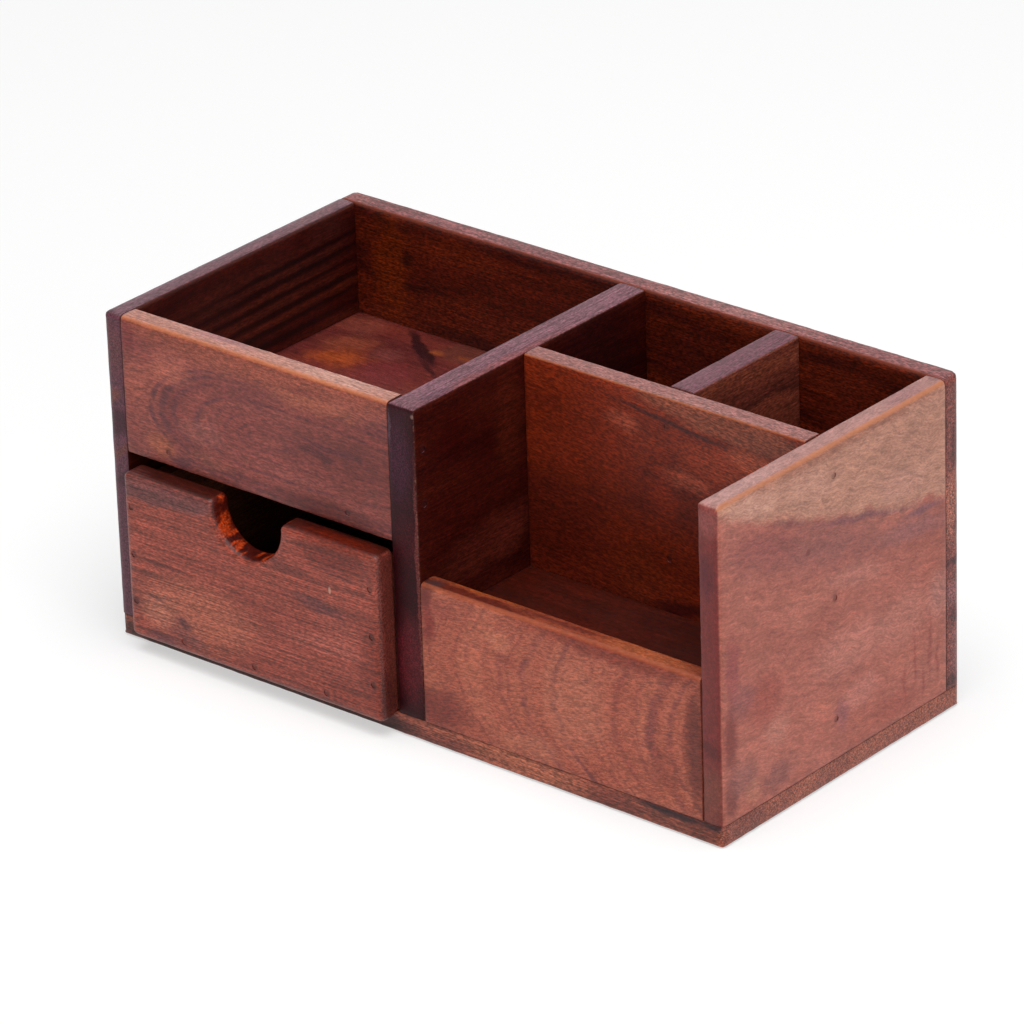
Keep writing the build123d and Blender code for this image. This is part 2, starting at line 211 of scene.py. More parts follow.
class BayFloorWood(bpy.types.PropertyGroup):
    """Dark board in the bottom of the bay."""

    pale: tint("Pale wood", "Between the growth rings", (82, 22, 6))
    mid: tint("Middle tone", "The board as a whole", (66, 16, 5))
    dark: tint("Dark wood", "Broad dark rings", (52, 11, 5))
    vein: tint("Vein", "Thin dark lines", (36, 8, 6))


class CrossWood(bpy.types.PropertyGroup):
    """Orange-red board behind the bay."""

    pale: tint("Pale wood", "Between the growth rings", (140, 46, 16))
    mid: tint("Middle tone", "The board as a whole", (122, 38, 13))
    dark: tint("Dark wood", "Broad dark rings", (100, 30, 13))
    vein: tint("Vein", "Thin dark lines", (66, 18, 12))


class DividerWood(bpy.types.PropertyGroup):
    """Olive-tan board between the pen wells."""

    pale: tint("Pale wood", "Between the growth rings", (142, 74, 54))
    mid: tint("Middle tone", "The board as a whole", (128, 62, 45))
    dark: tint("Dark wood", "Broad dark rings", (104, 48, 38))
    vein: tint("Vein", "Thin dark lines", (70, 32, 30))


class DrawerFrontWood(bpy.types.PropertyGroup):
    """Red-brown board with fine level lines, across the drawer."""

    pale: tint("Pale wood", "Between the growth rings", (164, 78, 60))
    mid: tint("Middle tone", "The board as a whole", (151, 68, 52))
    dark: tint("Dark wood", "Broad dark rings", (132, 56, 44))
    vein: tint("Vein", "Thin dark lines", (90, 36, 34))


class DrawerBoxWood(bpy.types.PropertyGroup):
    """Plain boards of the drawer's box."""

    pale: tint("Pale wood", "Between the growth rings", (140, 82, 58))
    mid: tint("Middle tone", "The board as a whole", (118, 66, 46))
    dark: tint("Dark wood", "Broad dark rings", (92, 48, 36))
    vein: tint("Vein", "Thin dark lines", (62, 30, 26))


class Finish(bpy.types.PropertyGroup):
    """Lacquer, nails and the marks of use."""

    satin: share("Satin", "Roughness of the lacquer on the outside", 0.42)
    glossy: share("Glossy", "Roughness where the lacquer pooled", 0.24)
    coat: share("Coat", "Weight of the clear coat", 0.08)
    bare: tint("Rubbed wood", "Pale line along rubbed arrises", (206, 150, 122))
    grime: tint("Joint line", "Old glue and dirt along the joints", (40, 20, 20))
    nail: tint("Nail steel", "Dulled steel of the nails", (58, 52, 50))
    halo: tint("Nail stain", "Wood darkened round each nail", (60, 30, 32))


class Stage(bpy.types.PropertyGroup):
    """Floor, lamps and camera."""

    floor: tint("Floor", "Plain pale floor", (246, 246, 246))
    key_power: bpy.props.FloatProperty(
        name="Key lamp", description="Power of the soft lamp overhead", default=56.0, min=0, unit="POWER"
    )
    side_power: bpy.props.FloatProperty(
        name="Side lamp", description="Power of the soft lamp in front", default=6.0, min=0, unit="POWER"
    )
    sky: bpy.props.FloatProperty(
        name="Room light", description="Even light from all round", default=0.15, min=0
    )
    glow: bpy.props.FloatProperty(
        name="Floor glow", description="White added where the floor is seen", default=0.53, min=0
    )
    lens: bpy.props.FloatProperty(
        name="Lens", description="Focal length in millimetres on a 36 mm sensor", default=237.0, min=1
    )


class PenStand(bpy.types.PropertyGroup):
    """Everything that can be changed about the pen stand."""

    work: bpy.props.PointerProperty(type=BoardWork, name="Board work")
    base: bpy.props.PointerProperty(type=BaseWood, name="Base board")
    back: bpy.props.PointerProperty(type=BackWood, name="Back panel")
    left: bpy.props.PointerProperty(type=LeftWood, name="Left side panel")
    right: bpy.props.PointerProperty(type=RightWood, name="Right side panel")
    partition: bpy.props.PointerProperty(type=PartitionWood, name="Middle partition")
    tray_front: bpy.props.PointerProperty(type=TrayFrontWood, name="Tray front")
    tray_floor: bpy.props.PointerProperty(type=TrayFloorWood, name="Tray floor")
    low_front: bpy.props.PointerProperty(type=LowFrontWood, name="Low front")
    bay_floor: bpy.props.PointerProperty(type=BayFloorWood, name="Bay floor")
    cross: bpy.props.PointerProperty(type=CrossWood, name="Cross panel")
    divider: bpy.props.PointerProperty(type=DividerWood, name="Pen divider")
    drawer_front: bpy.props.PointerProperty(type=DrawerFrontWood, name="Drawer front")
    drawer_box: bpy.props.PointerProperty(type=DrawerBoxWood, name="Drawer box")
    finish: bpy.props.PointerProperty(type=Finish, name="Finish")
    stage: bpy.props.PointerProperty(type=Stage, name="Stage")


# ---- bench tools: how a board is squared, softened, scored and worn ----

# Each face of a board: the axis it is square to, and whether it is at the low or the high end of it.
FACES = {"left": (0, 0), "right": (0, 1), "front": (1, 0), "rear": (1, 1), "under": (2, 0), "top": (2, 1)}
# Nearer than this in metres is touching, and further than this in millimetres makes no difference.
TOUCHING = 1e-6
FAR_OFF = 20
QUARTER_TURN = math.pi / 2


def settings():
    return bpy.context.scene.pen_stand


def way_of(face):
    """The way that a face looks."""
    axis, end = FACES[face]
    way = [0, 0, 0]
    way[axis] = 1 if end else -1
    return way


def put_all_down():
    """Nothing selected and nothing in edit mode."""
    if bpy.context.object and bpy.context.object.mode != "OBJECT":
        bpy.ops.object.mode_set(mode="OBJECT")
    bpy.ops.object.select_all(action="DESELECT")


def take_up(board):
    """Only this board selected, ready to be worked on."""
    put_all_down()
    board.select_set(True)
    bpy.context.view_layer.objects.active = board


def apply(board, modifier):
    take_up(board)
    bpy.ops.object.modifier_apply(modifier=modifier.name)


def squared(name, node):
    """A squared blank at the size and place of one of the model's boards."""
    low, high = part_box(node)
    put_all_down()
    bpy.ops.mesh.primitive_cube_add(size=1, location=(low + high) / 2, scale=high - low)
    board = bpy.context.object
    board.name = name
    board.data.name = name
    bpy.ops.object.transform_apply(location=True, rotation=True, scale=True)
    return board


def faces_met(point, low, high):
    """The two or three outer faces of a blank that a point lies on."""
    met = set()
    for name, (axis, end) in FACES.items():
        if abs(point[axis] - (low, high)[end][axis]) < TOUCHING:
            met.add(name)
    return met


def round_over(board, radius_of, segments=3):
    """Rounds each edge by the radius that radius_of gives for its two ends."""
    mesh = board.data
    weight = mesh.attributes.get("bevel_weight_edge")
    if weight is None:
        weight = mesh.attributes.new("bevel_weight_edge", "FLOAT", "EDGE")
    radii = []
    for edge in mesh.edges:
        first, second = [mesh.vertices[corner].co for corner in edge.vertices]
        radii.append(radius_of(first, second))
    widest = max(radii)
    if widest == 0:
        return
    weight.data.foreach_set("value", [radius / widest for radius in radii])
    plane = board.modifiers.new("rounded arrises", "BEVEL")
    plane.limit_method = "WEIGHT"
    plane.width = widest
    plane.segments = segments
    plane.use_clamp_overlap = False
    apply(board, plane)


def break_edges(board, width):
    """Takes the sharpness off every edge that is still square."""
    plane = board.modifiers.new("broken edges", "BEVEL")
    plane.limit_method = "ANGLE"
    plane.angle_limit = math.radians(50)
    plane.width = width
    plane.segments = 2
    plane.use_clamp_overlap = False
    apply(board, plane)


def soften(board, node, arrises, elsewhere):
    """Rounds each named arris by its own radius, and breaks the others a little."""
    low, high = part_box(node)

    def radius_of(first, second):
        met = faces_met((first + second) / 2, low, high)
        for pair, chosen in arrises.items():
            if set(pair.split()) == met:
                return chosen
        return 0.0

    round_over(board, radius_of)
    break_edges(board, elsewhere)


def stops(low, high, pitch):
    """Places between two ends: close together near the ends, then evenly spaced."""
    span = high - low
    near = [1.8 * MM, 3.6 * MM]
    places = [low + step for step in near if step < span / 2]
    places += [high - step for step in near if step < span / 2]
    inner_low = low + near[-1]
    inner = span - 2 * near[-1]
    count = int(inner / pitch)
    places += [inner_low + inner * step / count for step in range(1, count)]
    return sorted(places)


def score(board, node, pitch):
    """Scores lines right round the board, square to each axis, so that its faces can bend and wear."""
    low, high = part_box(node)
    take_up(board)
    bpy.ops.object.mode_set(mode="EDIT")
    for axis in range(3):
        normal = [0, 0, 0]
        normal[axis] = 1
        for place in stops(low[axis], high[axis], pitch):
            point = [0, 0, 0]
            point[axis] = place
            bpy.ops.mesh.select_all(action="SELECT")
            bpy.ops.mesh.bisect(plane_co=point, plane_no=normal)
    bpy.ops.object.mode_set(mode="OBJECT")


def off_the_arris(point, low, high, pairs):
    """How far a point lies from the nearest of the named arrises."""
    nearest = math.inf
    for pair in pairs:
        gaps = []
        for name in pair.split():
            axis, end = FACES[name]
            gaps.append(abs(point[axis] - (low, high)[end][axis]))
        nearest = min(nearest, math.hypot(*gaps))
    return nearest


def all_pairs():
    """Every arris of a squared board, named by the two faces that meet there."""
    names = list(FACES)
    pairs = [(a, b) for a in names for b in names if a < b]
    return [f"{a} {b}" for a, b in pairs if FACES[a][0] != FACES[b][0]]


def keep_measure(mesh, name, values):
    """Keeps one number for each point of the mesh, for its wood to read."""
    kept = mesh.attributes.get(name) or mesh.attributes.new(name, "FLOAT", "POINT")
    kept.data.foreach_set("value", values)


def measure_arrises(board, node, arrises, extra=None):
    """Keeps each point's distance in millimetres from the rubbed arrises and from the joint edges."""
    low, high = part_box(node)
    rubbed = {frozenset(pair.split()) for pair in arrises}
    joints = [pair for pair in all_pairs() if frozenset(pair.split()) not in rubbed]
    from_arris = []
    from_joint = []
    for vertex in board.data.vertices:
        distance = off_the_arris(vertex.co, low, high, arrises)
        if extra:
            distance = min(distance, extra(vertex.co))
        from_arris.append(min(distance / MM, FAR_OFF))
        from_joint.append(min(off_the_arris(vertex.co, low, high, joints) / MM, FAR_OFF))
    keep_measure(board.data, "from_arris", from_arris)
    keep_measure(board.data, "from_joint", from_joint)


def clouds(name, size):
    texture = bpy.data.textures.new(name, "CLOUDS")
    texture.noise_scale = size
    texture.noise_depth = 2
    texture.noise_basis = "ORIGINAL_PERLIN"
    return texture


def wear(board, work):
    """Slow waves over the faces and small dents along the arrises, all cut inward."""
    dented = 3.2
    values = [0.0] * len(board.data.vertices)
    board.data.attributes["from_arris"].data.foreach_get("value", values)
    near = board.vertex_groups.new(name="near_arris")
    for index, distance in enumerate(values):
        near.add([index], max(0.0, 1 - distance / dented), "REPLACE")
    for name, depth, size, group in (
        ("slow_waves", work.wavy, 0.022, ""),
        ("small_dents", work.nibbled, 0.0045, near.name),
    ):
        dent = board.modifiers.new(name, "DISPLACE")
        dent.texture = bpy.data.textures.get(name) or clouds(name, size)
        dent.texture_coords = "LOCAL"
        dent.mid_level = 1.0
        dent.strength = depth
        dent.vertex_group = group
        apply(board, dent)


def keep_within(board, node):
    """Brings back any point that the wear has pushed past the blank's own size."""
    low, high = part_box(node)
    for vertex in board.data.vertices:
        for axis in range(3):
            vertex.co[axis] = min(max(vertex.co[axis], low[axis]), high[axis])


def cut_away(board, cutter, solver="MANIFOLD"):
    """Cuts the cutter's shape out of the board, and throws the cutter away."""
    cut = board.modifiers.new("cut", "BOOLEAN")
    cut.operation = "DIFFERENCE"
    cut.solver = solver
    cut.object = cutter
    apply(board, cut)
    bpy.data.objects.remove(cutter)


def sink_nails(board, work, places):
    """Opens a dimple over each nail head. Each place is a point and the axis it was driven along."""
    if not places:
        return
    turns = {"x": (0, QUARTER_TURN, 0), "y": (QUARTER_TURN, 0, 0), "z": (0, 0, 0)}
    drills = []
    for place, axis in places:
        put_all_down()
        bpy.ops.mesh.primitive_cylinder_add(
            vertices=18, radius=work.nail, depth=2 * work.nail_depth, location=Vector(place) * MM,
            rotation=turns[axis],
        )
        drills.append(bpy.context.object)
    put_all_down()
    for drill in drills:
        drill.select_set(True)
    bpy.context.view_layer.objects.active = drills[0]
    if len(drills) > 1:
        bpy.ops.object.join()
    bit = bpy.context.object
    bpy.ops.object.transform_apply(location=True, rotation=True, scale=True)
    cut_away(board, bit)


def smooth(board):
    take_up(board)
    bpy.ops.object.shade_smooth_by_angle(angle=math.radians(38))


def use_up(board, node, arrises, nails, extra=None):
    """Gives a board that is cut to shape its years of use, and the marks of its nails."""
    work = settings().work
    score(board, node, work.score)
    measure_arrises(board, node, arrises, extra)
    wear(board, work)
    keep_within(board, node)
    sink_nails(board, work, nails)
    measure_arrises(board, node, arrises, extra)
    smooth(board)


def make_board(node, arrises, nails=()):
    """One board from blank to finished shape, at the size and place that the model gives it."""
    work = settings().work
    radii = {pair: getattr(work, kind) for pair, kind in arrises.items()}
    board = squared(f"{node}_wood", node)
    soften(board, node, radii, work.joint)
    use_up(board, node, arrises, nails)
    return board


def hand_over(board, node, body, material):
    """Gives the finished board its wood and puts it in place of the model's own."""
    board.data.materials.clear()
    board.data.materials.append(material)
    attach(board, body)
    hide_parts(node)


# ---- drawing up node trees ----

SOCKETS = {"value": "NodeSocketFloat", "vector": "NodeSocketVector", "colour": "NodeSocketColor"}


def socket_kind(given):
    """The kind of a group's input, by its name or by the value that it starts with."""
    if given in SOCKETS:
        return SOCKETS[given]
    return SOCKETS["vector" if isinstance(given, tuple) else "value"]


class Draft:
    """A node tree being drawn up, with a short way to write each of its commonest nodes."""

    def __init__(self, tree):
        self.tree = tree

    def add(self, kind, **values):
        node = self.tree.nodes.new(kind)
        for name, value in values.items():
            setattr(node, name, value)
        return node

    def plug(self, socket, value):
        if isinstance(value, bpy.types.NodeSocket):
            self.tree.links.new(value, socket)
        elif value is not None:
            socket.default_value = value

    def maths(self, operation, *values, clamp=False):
        node = self.add("ShaderNodeMath", operation=operation, use_clamp=clamp)
        for socket, value in zip(node.inputs, values):
            self.plug(socket, value)
        return node.outputs[0]

    def vector(self, operation, *values):
        node = self.add("ShaderNodeVectorMath", operation=operation)
        for socket, value in zip(node.inputs, values):
            self.plug(socket, value)
        return node.outputs["Value" if operation == "LENGTH" else "Vector"]

    def centred(self, drift):
        """A noise's colour as a push to either side instead of one."""
        return self.vector("SUBTRACT", drift, (0.5, 0.5, 0.5))

    def pushed(self, drift, amount):
        push = self.vector("SCALE", drift)
        self.plug(push.node.inputs["Scale"], amount)
        return push

    def trio(self, x, y, z):
        node = self.add("ShaderNodeCombineXYZ")
        for socket, value in zip(node.inputs, (x, y, z)):
            self.plug(socket, value)
        return node.outputs[0]

    def ease(self, value, start, end, low=0.0, high=1.0):
        """Runs smoothly from low to high as value runs from start to end."""
        node = self.add("ShaderNodeMapRange", interpolation_type="SMOOTHSTEP", clamp=True)
        for socket, given in zip(node.inputs, (value, start, end, low, high)):
            self.plug(socket, given)
        return node.outputs[0]

    def noise(self, place, scale, detail=2.0, rough=0.5, seed=0.0, lines=False):
        kind = "1D" if lines else "4D"
        node = self.add("ShaderNodeTexNoise", noise_dimensions=kind)
        self.plug(node.inputs["W"], place if lines else seed)
        if not lines:
            self.plug(node.inputs["Vector"], place)
        self.plug(node.inputs["Scale"], scale)
        self.plug(node.inputs["Detail"], detail)
        self.plug(node.inputs["Roughness"], rough)
        return node

    def blend(self, amount, first, second, how="MIX"):
        node = self.add("ShaderNodeMix", data_type="RGBA", blend_type=how, clamp_factor=True)
        self.plug(node.inputs[0], amount)
        self.plug(node.inputs[6], first)
        self.plug(node.inputs[7], second)
        return node.outputs[2]

    def use(self, name, **values):
        """Places a node group; a word's underscore stands for a space in its socket's name."""
        node = self.add("ShaderNodeGroup", node_tree=bpy.data.node_groups[name])
        for label, value in values.items():
            self.plug(node.inputs[label.replace("_", " ")], value)
        return node


def new_material(name):
    """A material with an empty node tree: returns it and its draft."""
    material = bpy.data.materials.new(name)
    material.use_nodes = True
    material.node_tree.nodes.clear()
    return material, Draft(material.node_tree)


def place_on_board(draft):
    """Where a point of the object lies, in millimetres."""
    where = draft.add("ShaderNodeTexCoord")
    grid = draft.add("ShaderNodeMapping")
    grid.inputs["Scale"].default_value = (1000, 1000, 1000)
    draft.plug(grid.inputs["Vector"], where.outputs["Object"])
    return grid.outputs[0]


def new_group(name, inputs, outputs):
    """An empty node group: returns its draft, and the sockets that its inputs and outputs show inside."""
    tree = bpy.data.node_groups.new(name, "ShaderNodeTree")
    for label, given in inputs.items():
        socket = tree.interface.new_socket(name=label, in_out="INPUT", socket_type=socket_kind(given))
        if given not in SOCKETS:
            socket.default_value = given
    for label, kind in outputs.items():
        tree.interface.new_socket(name=label, in_out="OUTPUT", socket_type=SOCKETS[kind])
    draft = Draft(tree)
    start = draft.add("NodeGroupInput").outputs
    end = draft.add("NodeGroupOutput").inputs
    return draft, start, end


def growth_rings_group():
    """Rings about a pith: level lines, ovals or arches, by how the pith lies in the board."""
    draft, start, end = new_group(
        "Growth Rings",
        {
            "Place": "vector",
            "Middle": (0, 0, 0),
            "Reach": (10, 1, 1),
            "Ring Width": 4.0,
            "Taper": 0.0,
            "Tail": 1.0,
            "Wander": 2.0,
            "Wander Size": 25.0,
            "Seed": 0.0,
        },
        {"Tone": "value", "Line": "value", "Distance": "value"},
    )
    offset = draft.vector("SUBTRACT", start["Place"], start["Middle"])
    slow = draft.vector("MULTIPLY", offset, (0.4, 1, 1))
    scale = draft.maths("DIVIDE", 1.0, start["Wander Size"])
    drift = draft.noise(slow, scale, 2.0, 0.55, start["Seed"]).outputs["Color"]
    centred = draft.centred(drift)
    amount = draft.maths("MULTIPLY", start["Wander"], 4.0)
    wandered = draft.vector("ADD", offset, draft.pushed(centred, amount))
    split = draft.add("ShaderNodeSeparateXYZ")
    draft.plug(split.inputs[0], wandered)
    beyond = draft.maths("MAXIMUM", split.outputs[0], 0.0)
    drawn_out = draft.maths("DIVIDE", beyond, start["Tail"])
    before = draft.maths("MINIMUM", split.outputs[0], 0.0)
    along = draft.maths("ADD", drawn_out, before)
    tailed = draft.trio(along, split.outputs[1], split.outputs[2])
    distance = draft.vector("LENGTH", draft.vector("DIVIDE", tailed, start["Reach"]))
    lean = draft.maths("MULTIPLY", split.outputs[0], start["Taper"])
    distance = draft.maths("ADD", distance, lean)
    count = draft.maths("DIVIDE", distance, start["Ring Width"])
    seeded = draft.maths("ADD", count, draft.maths("MULTIPLY", start["Seed"], 7.3))
    tone = draft.noise(seeded, 0.45, 3.0, 0.6, lines=True).outputs[0]
    part = draft.maths("FRACT", seeded)
    which = draft.add("ShaderNodeTexWhiteNoise", noise_dimensions="1D")
    draft.plug(which.inputs["W"], draft.maths("FLOOR", seeded))
    strength = draft.ease(which.outputs["Value"], 0.35, 1.0)
    rise = draft.ease(part, 0.55, 0.92)
    fall = draft.ease(part, 0.94, 1.0, 1.0, 0.0)
    line = draft.maths("MULTIPLY", draft.maths("MULTIPLY", rise, fall), strength)
    broken = draft.ease(draft.noise(slow, 0.12, 2.0, 0.6, start["Seed"]).outputs[0], 0.35, 0.6)
    draft.plug(end["Tone"], draft.ease(tone, 0.28, 0.72))
    draft.plug(end["Line"], draft.maths("MULTIPLY", line, broken))
    draft.plug(end["Distance"], distance)


def fibres_group():
    """Fine streaks that run along the grain, the faint mottle between them and the finest specks."""
    draft, start, end = new_group(
        "Fibres",
        {
            "Grain Place": "vector",
            "Streak Length": 30.0,
            "Streak Width": 0.5,
            "Mottle Size": 1.2,
            "Speck Length": 1.5,
            "Speck Width": 0.45,
            "Seed": 0.0,
        },
        {"Streaks": "value", "Mottle": "value", "Specks": "value"},
    )
    size = draft.trio(start["Streak Length"], start["Streak Width"], start["Streak Width"])
    place = draft.vector("DIVIDE", start["Grain Place"], size)
    streaks = draft.noise(place, 1.0, 3.0, 0.7, start["Seed"]).outputs[0]
    draft.plug(end["Streaks"], draft.ease(streaks, 0.3, 0.7))
    longer = draft.vector("MULTIPLY", start["Grain Place"], (0.3, 1, 1))
    scale = draft.maths("DIVIDE", 1.0, start["Mottle Size"])
    mottle = draft.noise(longer, scale, 3.0, 0.75, start["Seed"]).outputs[0]
    draft.plug(end["Mottle"], draft.ease(mottle, 0.28, 0.72))
    speck = draft.trio(start["Speck Length"], start["Speck Width"], start["Speck Width"])
    short = draft.vector("DIVIDE", start["Grain Place"], speck)
    specks = draft.noise(short, 1.0, 1.0, 0.5, start["Seed"]).outputs[0]
    draft.plug(end["Specks"], draft.ease(specks, 0.34, 0.66))


def pores_group():
    """Short open pores along the grain, round on end grain."""
    draft, start, end = new_group(
        "Pores",
        {
            "Grain Place": "vector",
            "Pore Length": 5.0,
            "Pore Width": 0.6,
            "Amount": 0.5,
            "Seed": 0.0,
        },
        {"Pores": "value"},
    )
    jiggle = draft.noise(start["Grain Place"], 0.25, 2.0, 0.5, start["Seed"]).outputs["Color"]
    jiggled = draft.vector("MULTIPLY", draft.centred(jiggle), (0.0, 2.4, 2.4))
    moved = draft.vector("ADD", start["Grain Place"], jiggled)
    size = draft.trio(start["Pore Length"], start["Pore Width"], start["Pore Width"])
    place = draft.vector("DIVIDE", moved, size)
    cells = draft.add("ShaderNodeTexVoronoi", feature="F1", voronoi_dimensions="4D")
    draft.plug(cells.inputs["Vector"], place)
    draft.plug(cells.inputs["W"], start["Seed"])
    parts = draft.add("ShaderNodeSeparateColor")
    draft.plug(parts.inputs[0], cells.outputs["Color"])
    dash = draft.ease(cells.outputs["Distance"], 0.20, 0.50, 1.0, 0.0)
    kept = draft.maths("LESS_THAN", parts.outputs[0], start["Amount"])
    depth = draft.ease(parts.outputs[1], 0.0, 1.0, 0.45, 1.0)
    draft.plug(end["Pores"], draft.maths("MULTIPLY", draft.maths("MULTIPLY", dash, kept), depth))


def stain_shade_and_sheen_patch_group():
    """One placed patch of another colour: a knot, a streak, a halo, a whole zone, painted shade or
    painted sheen.
    """
    draft, start, end = new_group(
        "Stain Patch",
        {
            "Place": "vector",
            "Drift": "vector",
            "Middle": (0, 0, 0),
            "Size": (10, 10, 10),
            "Turn": (0, 0, 0),
            "Softness": 0.6,
            "Raggedness": 4.0,
        },
        {"Mask": "value"},
    )
    place = draft.vector("ADD", start["Place"], draft.pushed(start["Drift"], start["Raggedness"]))
    turn = draft.add("ShaderNodeVectorRotate", rotation_type="EULER_XYZ", invert=True)
    draft.plug(turn.inputs["Vector"], draft.vector("SUBTRACT", place, start["Middle"]))
    draft.plug(turn.inputs["Rotation"], start["Turn"])
    reach = draft.vector("LENGTH", draft.vector("DIVIDE", turn.outputs[0], start["Size"]))
    inner = draft.maths("SUBTRACT", 1.0, start["Softness"])
    draft.plug(end["Mask"], draft.ease(reach, inner, 1.0, 1.0, 0.0))


def facing_group():
    """Where the surface looks a given way."""
    draft, start, end = new_group(
        "Facing",
        {"Way": (0, 0, 1), "From": 0.5, "To": 0.85},
        {"Mask": "value"},
    )
    where = draft.add("ShaderNodeTexCoord")
    facing = draft.add("ShaderNodeVectorMath", operation="DOT_PRODUCT")
    draft.plug(facing.inputs[0], where.outputs["Normal"])
    draft.plug(facing.inputs[1], start["Way"])
    draft.plug(end["Mask"], draft.ease(facing.outputs["Value"], start["From"], start["To"]))


def arris_wear_and_highlight_group():
    """Where arrises are rubbed pale, a painted highlight on the rounding of a lit one, and the dirt along
    joints.
    """
    draft, start, end = new_group(
        "Arris Wear",
        {
            "Place": "vector",
            "Lit Side": (0, -1, 0),
            "Rub Width": 0.7,
            "Patchiness": 0.7,
            "Seed": 0.0,
        },
        {"Rubbed": "value", "Gathered": "value", "Joint": "value"},
    )
    near = draft.add("ShaderNodeAttribute", attribute_name="from_arris")
    seam = draft.add("ShaderNodeAttribute", attribute_name="from_joint")
    broad = draft.noise(start["Place"], 0.09, 3.0, 0.6, start["Seed"]).outputs[0]
    fine = draft.noise(start["Place"], 0.9, 3.0, 0.6, start["Seed"]).outputs[0]
    wobble = draft.maths("SUBTRACT", fine, 0.5)
    distance = draft.maths("ADD", near.outputs["Fac"], wobble)
    inner = draft.maths("MULTIPLY", start["Rub Width"], 0.35)
    rub = draft.ease(distance, inner, start["Rub Width"], 1.0, 0.0)
    keep = draft.maths("SUBTRACT", 1.0, start["Patchiness"])
    patches = draft.ease(broad, 0.35, 0.65, keep, 1.0)
    draft.plug(end["Rubbed"], draft.maths("MULTIPLY", rub, patches))
    # Painted highlight: the rounding of an arris that faces both up and towards the lit side.
    upward = draft.use("Facing", Way=(0, 0, 1), From=0.22, To=0.55).outputs["Mask"]
    outward = draft.use("Facing", Way=start["Lit Side"], From=0.12, To=0.40).outputs["Mask"]
    turning = draft.maths("MULTIPLY", upward, outward)
    uneven = draft.ease(draft.maths("ADD", broad, wobble), 0.2, 0.7, 0.45, 1.0)
    draft.plug(end["Gathered"], draft.maths("MULTIPLY", turning, uneven))
    dirt = draft.ease(draft.maths("ADD", seam.outputs["Fac"], wobble), 0.1, 0.8, 1.0, 0.0)
    draft.plug(end["Joint"], draft.maths("MULTIPLY", dirt, draft.ease(broad, 0.3, 0.6, 0.35, 1.0)))


def wood_tone_group():
    """Lays the wood's four colours over one another."""
    draft, start, end = new_group(
        "Wood Tone",
        {
            "Pale": "colour",
            "Mid": "colour",
            "Dark": "colour",
            "Vein": "colour",
            "Tone": 0.5,
            "Line": 0.0,
            "Cloud": 0.5,
            "Ring Strength": 0.6,
            "Line Strength": 0.6,
        },
        {"Colour": "colour"},
    )
    rings = draft.maths("MULTIPLY", draft.maths("SUBTRACT", start["Tone"], 0.5), start["Ring Strength"])
    tone = draft.maths("ADD", rings, start["Cloud"], clamp=True)
    base = draft.blend(draft.ease(tone, 0.0, 0.55), start["Pale"], start["Mid"])
    base = draft.blend(draft.ease(tone, 0.5, 1.0), base, start["Dark"])
    line = draft.maths("MULTIPLY", start["Line"], start["Line Strength"])
    draft.plug(end["Colour"], draft.blend(line, base, start["Vein"]))


def lacquer_group():
    """How the lacquer lies: shinier and duller clouds, dull pores, and the relief under it."""
    draft, start, end = new_group(
        "Lacquer",
        {
            "Place": "vector",
            "Shine": 0.4,
            "Streaks": 0.5,
            "Pores": 0.0,
            "Rubbed": 0.0,
            "Seed": 0.0,
        },
        {"Roughness": "value", "Relief": "value"},
    )
    broad = draft.noise(start["Place"], 0.05, 3.0, 0.6, start["Seed"]).outputs[0]
    uneven = draft.maths("MULTIPLY", draft.maths("SUBTRACT", broad, 0.5), 0.30)
    rough = draft.maths("ADD", start["Shine"], uneven)
    rough = draft.maths("ADD", rough, draft.maths("MULTIPLY", start["Pores"], 0.15))
    rough = draft.maths("ADD", rough, draft.maths("MULTIPLY", start["Rubbed"], 0.15), clamp=True)
    slow = draft.noise(start["Place"], 0.35, 2.0, 0.5, start["Seed"]).outputs[0]
    relief = draft.maths("MULTIPLY", start["Streaks"], 0.30)
    relief = draft.maths("ADD", relief, draft.maths("MULTIPLY", slow, 0.9))
    relief = draft.maths("SUBTRACT", relief, draft.maths("MULTIPLY", start["Pores"], 0.7))
    draft.plug(end["Roughness"], rough)
    draft.plug(end["Relief"], relief)


# ---- woods ----


